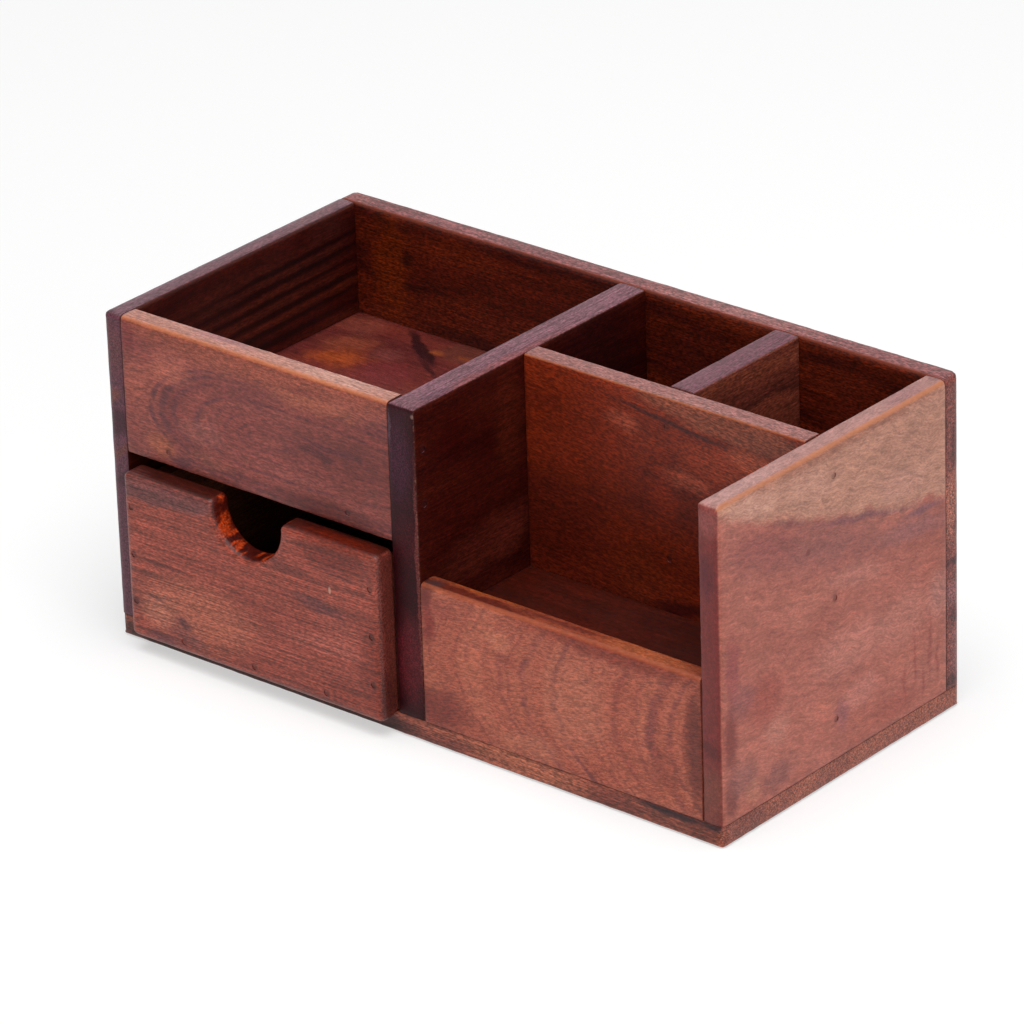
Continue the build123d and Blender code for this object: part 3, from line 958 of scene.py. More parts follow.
class Wood:
    """One board's material while it is drawn up: its ground colour first, then what lies on it."""

    def __init__(self, node, along, look, seed, tilt=0.0):
        self.material, self.draft = new_material(node.replace("_", " ") + " wood")
        self.low, self.high = [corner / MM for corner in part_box(node)]
        self.look = look
        self.seed = seed
        self.place = place_on_board(self.draft)
        drift = self.draft.noise(self.place, 0.14, 3.0, 0.6, seed).outputs["Color"]
        self.drift = self.draft.centred(drift)
        turn = self.draft.add("ShaderNodeMapping")
        angle = math.radians(tilt)
        turns = {"x": (0, angle, 0), "y": (-angle, 0, -QUARTER_TURN)}
        turn.inputs["Rotation"].default_value = turns[along]
        self.draft.plug(turn.inputs["Vector"], self.place)
        self.grain = turn.outputs[0]
        self.ends = {"x": ("left", "right"), "y": ("front", "rear")}[along]

    def curl(self, amount, size):
        """Makes the grain run in waves, as in curly wood: how far they sway and how long they are."""
        tall = self.draft.vector("MULTIPLY", self.grain, (1.0, 1.0, 1 / 3))
        wave = self.draft.noise(tall, 1 / size, 2.0, 0.5, self.seed).outputs["Color"]
        pushed = self.draft.vector("MULTIPLY", self.draft.centred(wave), (0.0, amount * 4, amount * 4))
        self.grain = self.draft.vector("ADD", self.grain, pushed)

    def figure(self, middle, reach, ring, taper=0.0, tail=1.0, wander=2.0, size=25.0, rings=0.6, line=0.5,
               cloud=0.5):
        """The ground colour: rings about the pith, and slow clouds."""
        draft = self.draft
        pattern = draft.use(
            "Growth Rings", Place=self.place, Middle=middle, Reach=reach, Ring_Width=ring, Taper=taper,
            Tail=tail, Wander=wander, Wander_Size=size, Seed=self.seed,
        )
        self.distance = pattern.outputs["Distance"]
        self.ring_tone = pattern.outputs["Tone"]
        slow = draft.vector("MULTIPLY", self.grain, (0.35, 1, 1))
        drift = draft.noise(slow, 0.045, 3.0, 0.55, self.seed + 2.7).outputs[0]
        clouded = draft.ease(drift, 0.3, 0.7, 0.5 - cloud / 2, 0.5 + cloud / 2)
        look = self.look
        tone = draft.use(
            "Wood Tone", Pale=look.pale, Mid=look.mid, Dark=look.dark, Vein=look.vein,
            Tone=pattern.outputs["Tone"], Line=pattern.outputs["Line"], Cloud=clouded,
            Ring_Strength=rings, Line_Strength=line,
        )
        self.colour = tone.outputs["Colour"]

    def facing(self, face, start=0.5, end=0.85):
        return self.draft.use("Facing", Way=way_of(face), From=start, To=end).outputs["Mask"]

    def mask(self, face, across, up, wide, tall, lean=0.0, soft=0.7, ragged=6.0):
        """Where a patch lies on one face: middle and half sizes in millimetres, and lean in degrees.

        Across and up run along X and Z on the front and rear, Y and Z on the ends, X and Y on the top.
        """
        deep = 5.0
        axis, end = FACES[face]
        corner = (self.low, self.high)[end]
        angle = math.radians(lean)
        if axis == 0:
            middle, size, turn = (corner.x, across, up), (deep, wide, tall), (angle, 0, 0)
        elif axis == 1:
            middle, size, turn = (across, corner.y, up), (wide, deep, tall), (0, -angle, 0)
        else:
            middle, size, turn = (across, up, corner.z), (wide, tall, deep), (0, 0, angle)
        spot = self.draft.use(
            "Stain Patch", Place=self.place, Drift=self.drift, Middle=middle, Size=size, Turn=turn,
            Softness=soft, Raggedness=ragged,
        )
        return self.draft.maths("MULTIPLY", spot.outputs["Mask"], self.facing(face))

    def lay(self, mask, colour, strength):
        """Lays a colour over what is there, as strongly as the mask says."""
        amount = self.draft.maths("MULTIPLY", mask, strength)
        chosen = shade(*colour) if len(colour) == 3 else tuple(colour)
        self.colour = self.draft.blend(amount, self.colour, chosen)

    def spot(self, face, across, up, wide, tall, colour, strength=0.6, lean=0.0, soft=0.7, ragged=6.0):
        """One placed patch of another colour on one face."""
        self.lay(self.mask(face, across, up, wide, tall, lean, soft, ragged), colour, strength)

    def top_sheen_and_tone(self, colour, strength=0.9):
        """The upper face in another colour: where it is paler, this is painted sheen, the light that the
        lacquer catches on a top.
        """
        self.lay(self.facing("top", 0.6, 0.95), colour, strength)

    def bore(self, across, up, radius):
        """The wall of a round notch that runs through the board from front to rear."""
        draft = self.draft
        middle = (across, 0, up)
        flat = draft.vector("MULTIPLY", draft.vector("SUBTRACT", self.place, middle), (1, 0, 1))
        flat = draft.vector("MINIMUM", flat, (1000, 0, 0))
        gap = draft.maths("SUBTRACT", draft.vector("LENGTH", flat), radius)
        inside = draft.maths("SUBTRACT", 1.0, self.facing("front", 0.35, 0.75))
        return draft.maths("MULTIPLY", draft.ease(gap, 0.8, 2.2, 1.0, 0.0), inside)

    def scraps(self, within):
        """Scattered small pale scraps inside another mask."""
        drawn_out = self.draft.vector("MULTIPLY", self.place, (1.6, 0.5, 0.6))
        scattered = self.draft.noise(drawn_out, 0.26, 2.0, 0.6, self.seed + 6.1).outputs[0]
        return self.draft.maths("MULTIPLY", self.draft.ease(scattered, 0.48, 0.62), within)

    def end_colour(self, colour, strength=0.8):
        """Thirsty end grain drinks the lacquer and goes darker."""
        for face in self.ends:
            self.lay(self.facing(face), colour, strength)

    def grain_lines(self, streaks=0.3, mottle=0.3, width=0.5, length=30.0, mottle_size=1.2, specks=0.3):
        """Fine streaks, mottle and specks over everything laid so far."""
        fibres = self.draft.use(
            "Fibres", Grain_Place=self.grain, Streak_Length=length, Streak_Width=width,
            Mottle_Size=mottle_size, Seed=self.seed,
        )
        self.streaks = fibres.outputs["Streaks"]
        self.colour = self.draft.blend(streaks, self.colour, self.streaks, "OVERLAY")
        self.colour = self.draft.blend(mottle, self.colour, fibres.outputs["Mottle"], "OVERLAY")
        self.colour = self.draft.blend(specks, self.colour, fibres.outputs["Specks"], "OVERLAY")

    def ring_marks(self, colour, *marks):
        """Dark growth lines, each by its distance from the pith, its width and its strength."""
        draft = self.draft
        for at, width, strength in marks:
            gap = draft.maths("ABSOLUTE", draft.maths("SUBTRACT", self.distance, at))
            mark = draft.maths("MULTIPLY", draft.ease(gap, width * 0.2, width, 1.0, 0.0), strength)
            come_and_go = draft.noise(self.place, 0.16, 2.0, 0.6, self.seed + at).outputs[0]
            mark = draft.maths("MULTIPLY", mark, draft.ease(come_and_go, 0.35, 0.6, 0.25, 1.0))
            self.colour = draft.blend(mark, self.colour, shade(*colour))

    def pores(self, darken, amount, length, width, strength=0.7, within=None, by_rings=0.0):
        """Dashes along the grain, all over or within one zone; by_rings thins them in the pale rings."""
        draft = self.draft
        cells = draft.use(
            "Pores", Grain_Place=self.grain, Pore_Length=length, Pore_Width=width, Amount=amount,
            Seed=self.seed + length,
        )
        self.pits = cells.outputs["Pores"]
        mark = draft.maths("MULTIPLY", self.pits, strength)
        if within is not None:
            mark = draft.maths("MULTIPLY", mark, within)
        if by_rings:
            ringed = draft.ease(self.ring_tone, 0.2, 0.8, 1 - by_rings, 1.0)
            mark = draft.maths("MULTIPLY", mark, ringed)
        self.colour = draft.blend(mark, self.colour, shade(*darken), "MULTIPLY")

    def halo(self, finish, places, size=1.9, strength=0.4):
        """Stain round each nail."""
        for (x, y, z), _axis in places:
            spot = self.draft.use(
                "Stain Patch", Place=self.place, Drift=self.drift, Middle=(x, y, z),
                Size=(size, size, size * 1.4), Softness=0.7, Raggedness=1.0,
            )
            self.lay(spot.outputs["Mask"], finish.halo, strength)

    def finish(self, finish, shine=None, rub=0.3, arris_highlight=None, highlight_strength=0.8, lit="front", rub_width=0.7,
               joint=0.4, coat=None, gloss=0.3):
        """Wear along the arrises and a painted highlight on a lit one, then the lacquer, which is satin
        unless another shine is given.
        """
        relief_depth = 0.06 * MM
        draft = self.draft
        edges = draft.use(
            "Arris Wear", Place=self.place, Lit_Side=way_of(lit), Rub_Width=rub_width, Seed=self.seed
        )
        # A painted highlight along the lit arris, where a colour for it is given.
        if arris_highlight:
            self.lay(edges.outputs["Gathered"], arris_highlight, highlight_strength)
        self.lay(edges.outputs["Rubbed"], finish.bare, rub)
        self.lay(edges.outputs["Joint"], finish.grime, joint)
        lacquer = draft.use(
            "Lacquer", Place=self.place, Shine=finish.satin if shine is None else shine,
            Streaks=self.streaks, Pores=self.pits, Rubbed=edges.outputs["Rubbed"], Seed=self.seed,
        )
        bump = draft.add("ShaderNodeBump")
        bump.inputs["Strength"].default_value = 0.6
        bump.inputs["Distance"].default_value = relief_depth
        draft.plug(bump.inputs["Height"], lacquer.outputs["Relief"])
        surface = draft.add("ShaderNodeBsdfPrincipled")
        draft.plug(surface.inputs["Base Color"], self.colour)
        draft.plug(surface.inputs["Roughness"], lacquer.outputs["Roughness"])
        draft.plug(surface.inputs["Normal"], bump.outputs["Normal"])
        surface.inputs["IOR"].default_value = 1.47
        surface.inputs["Specular IOR Level"].default_value = gloss
        surface.inputs["Coat Weight"].default_value = finish.coat if coat is None else coat
        surface.inputs["Coat Roughness"].default_value = 0.3
        out = draft.add("ShaderNodeOutputMaterial")
        draft.plug(out.inputs["Surface"], surface.outputs["BSDF"])
        return self.material


# ---- the pieces ----

# Where the nails were driven, in millimetres, and the axis they run along. The cross line is the middle
# of the cross panel's thickness, which takes the nails from both sides.
CROSS_LINE = -4.0
RIGHT_NAILS = [((127, CROSS_LINE, z), "x") for z in (21.5, 63.75, 106)]
CROSS_NAILS = [((64, -8, z), "y") for z in (60.75, 107)]
PARTITION_NAILS = [((6, -58, z), "x") for z in (83, 102)] + [((-5, CROSS_LINE, 106), "x")]
LEFT_NAILS = [((-127, -58, z), "x") for z in (83, 102)] + [((-127, y, 73), "x") for y in (-27, 27)]
TRAY_FRONT_NAILS = [((x, -62, 73), "y") for x in (-100.5, -23.5)]
BACK_NAILS = [((x, 62, z), "y") for x in (-123, 0.5, 64, 123) for z in (24.5, 62.25, 100)]
BASE_NAILS = [((x, y, 0), "z") for x in (-123, 0.5, 123) for y in (-35, 27)]
BASE_NAILS += [((x, y, 0), "z") for x in (33, 92) for y in (-58, CROSS_LINE)]
BASE_NAILS += [((x, 58, 0), "z") for x in (-73, 73)]
DRAWER_NAILS = [((x, -69, z), "y") for x in (-112.3, -9.3) for z in (18.8, 35.8, 52.8)]
DRAWER_NAILS += [((x, -69, 9.8), "y") for x in (-91.8, -60.8, -29.8)]

# What a pore does to the wood's colour, which it multiplies: the last two are short dark marks.
DARK_PORE = (142, 126, 132)
SOFT_PORE = (196, 176, 178)
RED_PORE = (200, 134, 144)
FLECK = (118, 96, 104)
DASH = (182, 104, 112)


class PENSTAND_OT_base_board(bpy.types.Operator):
    """Brown board under the case, its upright corners rounded"""

    bl_idname = "pen_stand.base_board"
    bl_label = "Base board"

    def execute(self, context):
        look = settings()
        arrises = dict.fromkeys(("left front", "right front", "left rear", "right rear"), "rear_corner")
        arrises |= dict.fromkeys(("front under", "right under", "left under", "rear under"), "rubbed")
        board = make_board("base_board", arrises, BASE_NAILS)
        wood = Wood("base_board", "x", look.base, 1.3)
        wood.figure(middle=(40, 30, -50), reach=(14, 1, 1), ring=3.2, wander=2.5, line=0.5)
        # Front edge: paler under the bay, with a dark streak at the right end, and painted shade where
        # the drawer's front hangs over it.
        wood.spot("front", 50, 4, 34, 6, (180, 102, 74), strength=0.75)
        wood.spot("front", 82, 3, 12, 5, (122, 56, 42), strength=0.7)
        wood.spot("front", 112, 7.4, 27, 3.4, (46, 14, 22), strength=0.95, soft=0.5, ragged=2)
        wood.spot("front", 118, 3, 10, 5, (96, 38, 24))
        wood.spot("front", -62, 3, 70, 9, (62, 26, 24), strength=0.9, soft=0.2)
        wood.end_colour((152, 86, 70), 0.6)
        # The same painted shade carried round onto the left end.
        wood.spot("left", -30, 4, 60, 9, (62, 26, 24), strength=0.9)
        wood.spot("right", -50, 4, 16, 8, (124, 65, 54), strength=0.8)
        wood.grain_lines(streaks=0.5, mottle=0.2, specks=0.45)
        wood.pores(DARK_PORE, amount=0.75, length=6.0, width=0.7, strength=0.8)
        wood.halo(look.finish, BASE_NAILS)
        material = wood.finish(look.finish, rub=0.25, joint=0.2)
        hand_over(board, "base_board", "case", material)
        return {"FINISHED"}


class PENSTAND_OT_back_panel(bpy.types.Operator):
    """Dark red-brown board across the back, standing on the base"""

    bl_idname = "pen_stand.back_panel"
    bl_label = "Back panel"

    def execute(self, context):
        look = settings()
        arrises = dict.fromkeys(("left top", "right top", "left rear", "right rear"), "rear_corner")
        arrises |= dict.fromkeys(("front top", "rear top"), "rubbed")
        board = make_board("back_panel", arrises, BACK_NAILS)
        wood = Wood("back_panel", "x", look.back, 4.1)
        wood.figure(middle=(-60, 90, 70), reach=(9, 1, 1), ring=5.5, wander=4.0, size=30, line=0.7)
        # Face inside the tray and the wells: an orange glow and dark streaks.
        wood.spot("front", -104, 96, 11, 30, (120, 42, 6), strength=0.85, ragged=12)
        wood.spot("front", -75, 110, 20, 5, (106, 34, 8), strength=0.5)
        wood.spot("front", -97, 102, 4, 4, (48, 12, 8), strength=0.7)
        wood.spot("front", -84, 94, 15, 1.4, (50, 12, 10), lean=-8, soft=0.9)
        wood.spot("front", -70, 88, 20, 1.2, (50, 12, 10), strength=0.5, lean=-6, soft=0.9)
        wood.spot("front", -60, 79, 40, 4, (52, 12, 14))
        wood.spot("front", 30, 90, 30, 30, (82, 25, 20), strength=0.5)
        wood.spot("front", 96, 92, 22, 26, (112, 38, 20))
        wood.spot("front", 102, 90, 16, 2.4, (46, 14, 16), strength=0.75, lean=-24, soft=0.5)
        wood.end_colour((128, 66, 58), 0.9)
        # End grain at the rear corner, light and dark by turns.
        wood.spot("right", 58, 72, 8, 18, (168, 100, 82), strength=0.8, ragged=10)
        wood.spot("right", 58, 92, 3, 10, (84, 36, 36), strength=0.7, ragged=8)
        wood.spot("right", 60, 66, 2, 9, (92, 36, 34), strength=0.8, lean=8, ragged=8)
        wood.spot("right", 58, 53, 8, 2.4, (84, 30, 34), strength=0.9, lean=10)
        wood.spot("right", 58, 42, 8, 6, (138, 84, 84), strength=0.8)
        wood.spot("right", 58, 34, 3, 5, (78, 32, 38), strength=0.8, lean=20)
        wood.spot("right", 60, 20, 5, 14, (142, 90, 88), strength=0.75, ragged=8)
        wood.spot("right", 57, 10, 5, 3, (70, 28, 30), strength=0.8)
        # Painted sheen on the upper face, varied in places along the top.
        wood.top_sheen_and_tone((130, 78, 78))
        wood.spot("top", 40, 58, 46, 5, (144, 94, 90), strength=0.8)
        wood.spot("top", -120, 58, 12, 6, (136, 80, 76))
        wood.grain_lines(streaks=0.5, mottle=0.35, specks=0.55)
        wood.pores(DARK_PORE, amount=0.7, length=5.0, width=0.7, strength=0.8)
        wood.halo(look.finish, BACK_NAILS)
        # The finish paints a highlight along the lit upper arris.
        material = wood.finish(look.finish, arris_highlight=(122, 50, 28))
        hand_over(board, "back_panel", "case", material)
        return {"FINISHED"}


class PENSTAND_OT_left_side_panel(bpy.types.Operator):
    """Dark striped board at the left end"""

    bl_idname = "pen_stand.left_side_panel"
    bl_label = "Left side panel"

    def execute(self, context):
        look = settings()
        arrises = {"left top": "worn", "right top": "rubbed", "front top": "worn", "left front": "worn"}
        board = make_board("left_side_panel", arrises, LEFT_NAILS)
        wood = Wood("left_side_panel", "y", look.left, 7.7)
        wood.figure(
            middle=(-60, 0, 190), reach=(1, 14, 1), ring=5.0, wander=1.2, size=35, rings=0.5, line=0.4
        )
        wood.spot("right", -8, 98, 70, 20, (86, 34, 24))
        wood.spot("right", 40, 108, 16, 12, (74, 30, 24), strength=0.5)
        # Dark stripes along the face inside the tray.
        for number, height in enumerate((106, 101, 96, 91, 86, 81)):
            across = 18 - 6 * (number % 3)
            tall = 1.7 + 0.5 * (number % 2)
            wood.spot(
                "right", across, height, 90, tall, (22, 1, 2),
                strength=0.95, lean=1.5, soft=0.8, ragged=1.6,
            )
        wood.end_colour((98, 50, 66), 0.9)
        # Slanting marks on the front end.
        wood.spot("front", -123, 104, 8, 14, (102, 52, 54), strength=0.7)
        wood.spot("front", -123, 78, 8, 5, (58, 10, 28), strength=0.85, lean=35, soft=0.5)
        wood.spot("front", -122, 68, 7, 3, (112, 56, 44), strength=0.7, lean=40)
        wood.spot("front", -124, 87, 6, 3, (118, 62, 46), strength=0.7, lean=40)
        wood.spot("front", -122, 58, 6, 3, (58, 12, 28), strength=0.7, lean=35)
        wood.spot("front", -123, 28, 6, 26, (96, 48, 62), strength=0.7)
        # Painted sheen on the upper face, varied in places along the top.
        wood.top_sheen_and_tone((110, 76, 86))
        wood.spot("top", -121, 0, 2.6, 60, (104, 66, 70))
        wood.spot("top", -123, 40, 5, 20, (120, 82, 84))
        wood.grain_lines(streaks=0.36, mottle=0.2, specks=0.35)
        wood.pores(DARK_PORE, amount=0.6, length=4.0, width=0.6, strength=0.7)
        wood.halo(look.finish, LEFT_NAILS)
        material = wood.finish(look.finish, rub=0.1)
        hand_over(board, "left_side_panel", "case", material)
        return {"FINISHED"}


class PENSTAND_OT_right_side_panel(bpy.types.Operator):
    """Pale board at the right end, tan above and pink below a wavy purple band"""

    bl_idname = "pen_stand.right_side_panel"
    bl_label = "Right side panel"

    def execute(self, context):
        look = settings()
        arrises = {
            "left top": "rubbed",
            "right top": "soft",
            "front top": "worn",
            "right front": "soft",
            "left front": "rubbed",
        }
        board = make_board("right_side_panel", arrises, RIGHT_NAILS)
        wood = Wood("right_side_panel", "y", look.right, 2.2, tilt=-14.0)
        wood.curl(1.3, 8.0)
        wood.figure(
            middle=(60, 0, 120), reach=(1, 9, 1), ring=6.0, wander=4.0, size=24, rings=0.2, line=0.1
        )
        band = look.right.band
        # Purple band, and the clouded pink wood below it.
        wood.spot("right", -12, 84, 60, 13, band, strength=0.75, lean=-14, soft=0.9, ragged=7)
        wood.spot("right", -40, 95, 26, 10, (146, 72, 66), strength=0.7, lean=-18, soft=0.8)
        wood.spot("right", 38, 72, 30, 6, (146, 88, 88), strength=0.7, lean=-10, soft=0.9)
        wood.spot("right", 6, 68, 22, 6, (182, 112, 98), lean=-12)
        wood.spot("right", -20, 66, 16, 10, (180, 104, 86))
        wood.spot("right", -56, 58, 5, 18, (142, 64, 62), strength=0.8)
        wood.spot("right", -57, 36, 5, 16, (116, 40, 34), strength=0.8)
        wood.spot("right", -57, 16, 5, 10, (118, 52, 46), strength=0.8)
        wood.spot("right", -40, 44, 14, 12, (154, 68, 54), strength=0.7)
        wood.spot("right", -34, 30, 9, 7, (190, 120, 102))
        wood.spot("right", 2, 44, 24, 12, (190, 118, 102))
        wood.spot("right", 30, 42, 20, 12, (186, 114, 98))
        wood.spot("right", 50, 44, 8, 12, (176, 116, 104))
        wood.spot("right", 8, 26, 14, 7, (190, 116, 102), strength=0.7)
        wood.spot("right", -1, 22, 5, 8, (140, 78, 84), lean=20)
        wood.spot("right", -10, 28, 8, 6, (186, 104, 84))
        wood.spot("right", 30, 28, 16, 6, (180, 98, 78), strength=0.5)
        wood.spot("right", -34, 14, 12, 7, (132, 76, 70), strength=0.8, ragged=10)
        wood.spot("right", 26, 14, 18, 6, (156, 76, 62), strength=0.7)
        wood.spot("right", -46, 14, 6, 6, (180, 112, 90), strength=0.7, ragged=8)
        wood.spot("right", 52, 13, 6, 6, (184, 106, 88), strength=0.7)
        wood.spot("right", -51, 47, 9, 9, (136, 72, 70), strength=0.65)
        wood.spot("right", -51, 21, 9, 9, (132, 80, 74), strength=0.65, ragged=8)
        # Red dashes standing near the rear corner.
        for across, up, tall in ((32, 20, 9), (37, 26, 14), (41, 16, 8), (45, 27, 17), (49, 20, 12)):
            wood.spot("right", across, up, 1.4, tall, (140, 56, 46), soft=0.9, ragged=8)
        # Tan wood above, laid over the upper side of the band's dark line.
        tan = wood.mask("right", 6, 149, 190, 60, lean=-18, soft=0.08, ragged=8)
        wood.spot("right", 12, 86, 40, 2.0, (118, 66, 70), strength=0.85, lean=-13, soft=0.8, ragged=4)
        wood.spot("right", -26, 98, 16, 2.4, (116, 56, 56), strength=0.7, lean=-20, soft=0.8, ragged=4)
        wood.spot("right", 42, 77, 16, 2.0, (118, 72, 80), strength=0.8, lean=-6, soft=0.8, ragged=4)
        wood.lay(tan, look.right.tan, 0.97)
        wood.spot("right", -44, 111, 18, 6, (204, 148, 128), strength=0.8, lean=-12)
        wood.spot("right", -14, 106, 20, 7, (198, 142, 122), lean=-14)
        wood.spot("right", 4, 116, 70, 4.5, (158, 98, 78), strength=0.75)
        wood.spot("right", 34, 102, 26, 12, (172, 118, 98))
        wood.spot("right", 30, 90, 18, 7, (192, 134, 118), strength=0.5, lean=-12)
        wood.spot("right", -17.4, 84.6, 1.8, 1.6, (120, 52, 46), strength=0.8, ragged=1)
        wood.end_colour((112, 34, 32), 0.95)
        # Front end.
        wood.spot("front", 123, 112, 8, 9, (140, 70, 64), strength=0.9)
        wood.spot("front", 122, 92, 5, 10, (88, 22, 34), strength=0.7)
        wood.spot("front", 123, 17, 8, 15, (122, 62, 48), strength=0.8)
        wood.spot("front", 121, 34, 3, 12, (84, 26, 22), strength=0.7, lean=70)
        # Painted sheen on the upper face, varied in places along the top.
        wood.top_sheen_and_tone((164, 120, 114))
        wood.spot("top", 123, -44, 6, 24, (174, 130, 124), strength=0.8)
        wood.spot("top", 123, 38, 6, 14, (146, 100, 98), strength=0.8)
        wood.spot("top", 123, 58, 6, 9, (122, 74, 72), strength=0.9)
        wood.grain_lines(streaks=0.17, mottle=0.2, width=0.7, length=12.0, mottle_size=1.8, specks=0.14)
        wood.pores(RED_PORE, amount=0.45, length=5.0, width=0.7, strength=0.55)
        wood.halo(look.finish, RIGHT_NAILS, strength=0.3)
        # The finish paints a highlight along the upper arris on the lit right side.
        material = wood.finish(look.finish, arris_highlight=(188, 118, 80), lit="right")
        hand_over(board, "right_side_panel", "case", material)
        return {"FINISHED"}


class PENSTAND_OT_middle_partition(bpy.types.Operator):
    """Thick dark board between the tray and the bay"""

    bl_idname = "pen_stand.middle_partition"
    bl_label = "Middle partition"

    def execute(self, context):
        look = settings()
        arrises = dict.fromkeys(("left top", "right top", "right front"), "rubbed")
        arrises["front top"] = "soft"
        board = make_board("middle_partition", arrises, PARTITION_NAILS)
        wood = Wood("middle_partition", "y", look.partition, 5.9)
        wood.figure(middle=(-40, 0, 40), reach=(1, 10, 1), ring=6.0, wander=3.0, size=30, line=0.6)
        # Face towards the bay.
        wood.spot("right", -28, 58, 40, 12, (92, 34, 24), strength=0.7, lean=10)
        wood.spot("right", -16, 96, 10, 26, (80, 27, 14), strength=0.7)
        wood.spot("right", -44, 100, 14, 10, (48, 4, 2), strength=0.7)
        wood.spot("right", 27, 100, 30, 30, (40, 10, 12), strength=0.7)
        wood.spot("right", -18, 56, 12, 10, (104, 40, 30))
        wood.end_colour((46, 2, 8), 0.97)
        # Front end: purple above, redder below, paler along the rubbed right arris.
        wood.spot("front", -1, 98, 8, 24, (68, 28, 46), strength=0.8, soft=0.8)
        wood.spot("front", 2, 70, 8, 12, (66, 12, 20), strength=0.7)
        wood.spot("front", 1, 28, 8, 22, (96, 26, 34), strength=0.8)
        wood.spot("front", 5.2, 60, 0.9, 50, (116, 54, 50), strength=0.7, soft=0.6, ragged=3)
        wood.spot("front", -4.4, 108, 0.9, 8, (104, 70, 86), ragged=3)
        # Painted sheen on the upper face, varied in places along the top.
        wood.top_sheen_and_tone((122, 82, 92))
        wood.spot("top", 4.5, -20, 3, 50, (124, 66, 66), strength=0.7)
        wood.spot("top", 0, -45, 6, 12, (126, 84, 96))
        wood.spot("top", 0.5, 44, 6, 16, (128, 84, 94), strength=0.7)
        wood.spot("top", 4, -48, 4, 10, (92, 60, 76), strength=0.5)
        wood.grain_lines(streaks=0.4, mottle=0.3, specks=0.36)
        wood.pores(DARK_PORE, amount=0.65, length=5.0, width=0.7, strength=0.8)
        wood.spot("front", 5.2, 114.4, 1.0, 1.2, (150, 116, 108), ragged=2)
        wood.halo(look.finish, PARTITION_NAILS)
        material = wood.finish(look.finish, rub=0.35, coat=0.0, gloss=0.16)
        hand_over(board, "middle_partition", "case", material)
        return {"FINISHED"}


class PENSTAND_OT_tray_front(bpy.types.Operator):
    """Board in front of the tray, with nested ovals and a band of dark flecks"""

    bl_idname = "pen_stand.tray_front"
    bl_label = "Tray front"

    def execute(self, context):
        look = settings()
        arrises = dict.fromkeys(("rear top", "front under", "rear under"), "rubbed")
        arrises["front top"] = "soft"
        board = make_board("tray_front", arrises, TRAY_FRONT_NAILS)
        wood = Wood("tray_front", "x", look.tray_front, 3.4)
        wood.curl(0.5, 9.0)
        wood.figure(
            middle=(-60, -62, 89), reach=(2.3, 1.4, 1), ring=3.2, tail=3.0, wander=1.3, size=16,
            rings=0.55, line=0.35, cloud=0.3,
        )
        # Nested ovals, over paler wood at the left end.
        wood.spot("front", -112, 95, 12, 12, (166, 86, 70), strength=0.7)
        wood.spot("front", -100, 101, 9, 5, (184, 96, 76), strength=0.7)
        wood.ring_marks(
            (92, 46, 54), (20.6, 0.8, 0.7), (18.6, 1.0, 0.6), (16.4, 0.7, 0.5), (12.2, 0.8, 0.65),
            (9.6, 1.2, 0.4), (7.0, 0.7, 0.55), (4.4, 0.5, 0.5), (2.2, 0.8, 0.5),
        )
        # Band of flecks along the upper edge, then the light and dark parts round the ovals.
        band = wood.mask("front", -62, 117, 90, 12, soft=0.6, ragged=6)
        wood.lay(band, (168, 84, 60), 0.7)
        wood.spot("front", -68, 101, 22, 3.0, (126, 58, 56), lean=3)
        wood.spot("front", -98, 104, 12, 8, (186, 100, 80), strength=0.5)
        wood.spot("front", -86, 84, 14, 6, (160, 90, 80), strength=0.45)
        wood.spot("front", -34, 107.5, 28, 4.4, (182, 98, 72), strength=0.65)
        wood.spot("front", -14, 92, 48, 22, (106, 40, 34), strength=0.75, soft=0.9)
        wood.spot("front", -22, 80, 10, 5, (128, 54, 44))
        wood.spot("front", -30, 93.5, 20, 1.6, (84, 36, 44), strength=0.7, lean=-3)
        wood.spot("front", -36, 90.5, 12, 2.0, (84, 34, 38), strength=0.7, lean=-6)
        wood.spot("front", -34, 71, 28, 6, (92, 26, 16), strength=0.7)
        wood.spot("front", -82, 75, 14, 3, (160, 84, 66), lean=-6)
        wood.spot("front", -82, 69.5, 20, 2.0, (116, 50, 44))
        wood.spot("front", -104, 75, 8, 5, (170, 90, 62), strength=0.75)
        wood.spot("front", -95, 71, 7, 3.4, (88, 42, 52), strength=0.8, ragged=4)
        wood.spot("front", -117, 111, 6, 8, (126, 44, 46))
        wood.spot("front", -40, 111, 12, 2.0, (130, 58, 48))
        wood.end_colour((104, 50, 44))
        # Painted sheen on the upper face, varied in places along the top.
        wood.top_sheen_and_tone((178, 124, 110))
        wood.spot("top", -30, -58, 24, 6, (186, 136, 122), strength=0.8)
        wood.spot("top", -78, -56.5, 18, 3, (162, 108, 112), strength=0.7)
        wood.grain_lines(streaks=0.24, mottle=0.2, length=18.0, mottle_size=0.9, specks=0.28)
        wood.pores(SOFT_PORE, amount=0.7, length=3.4, width=0.55, strength=0.8)
        wood.pores(FLECK, amount=0.85, length=2.0, width=0.9, strength=1.0, within=band)
        wood.pores(FLECK, amount=0.6, length=1.3, width=0.55, strength=1.0, within=band)
        wood.halo(look.finish, TRAY_FRONT_NAILS, size=1.6)
        # The finish paints a highlight along the lit upper arris.
        material = wood.finish(look.finish, rub=0.12, arris_highlight=(204, 122, 78), highlight_strength=0.65)
        hand_over(board, "tray_front", "case", material)
        return {"FINISHED"}


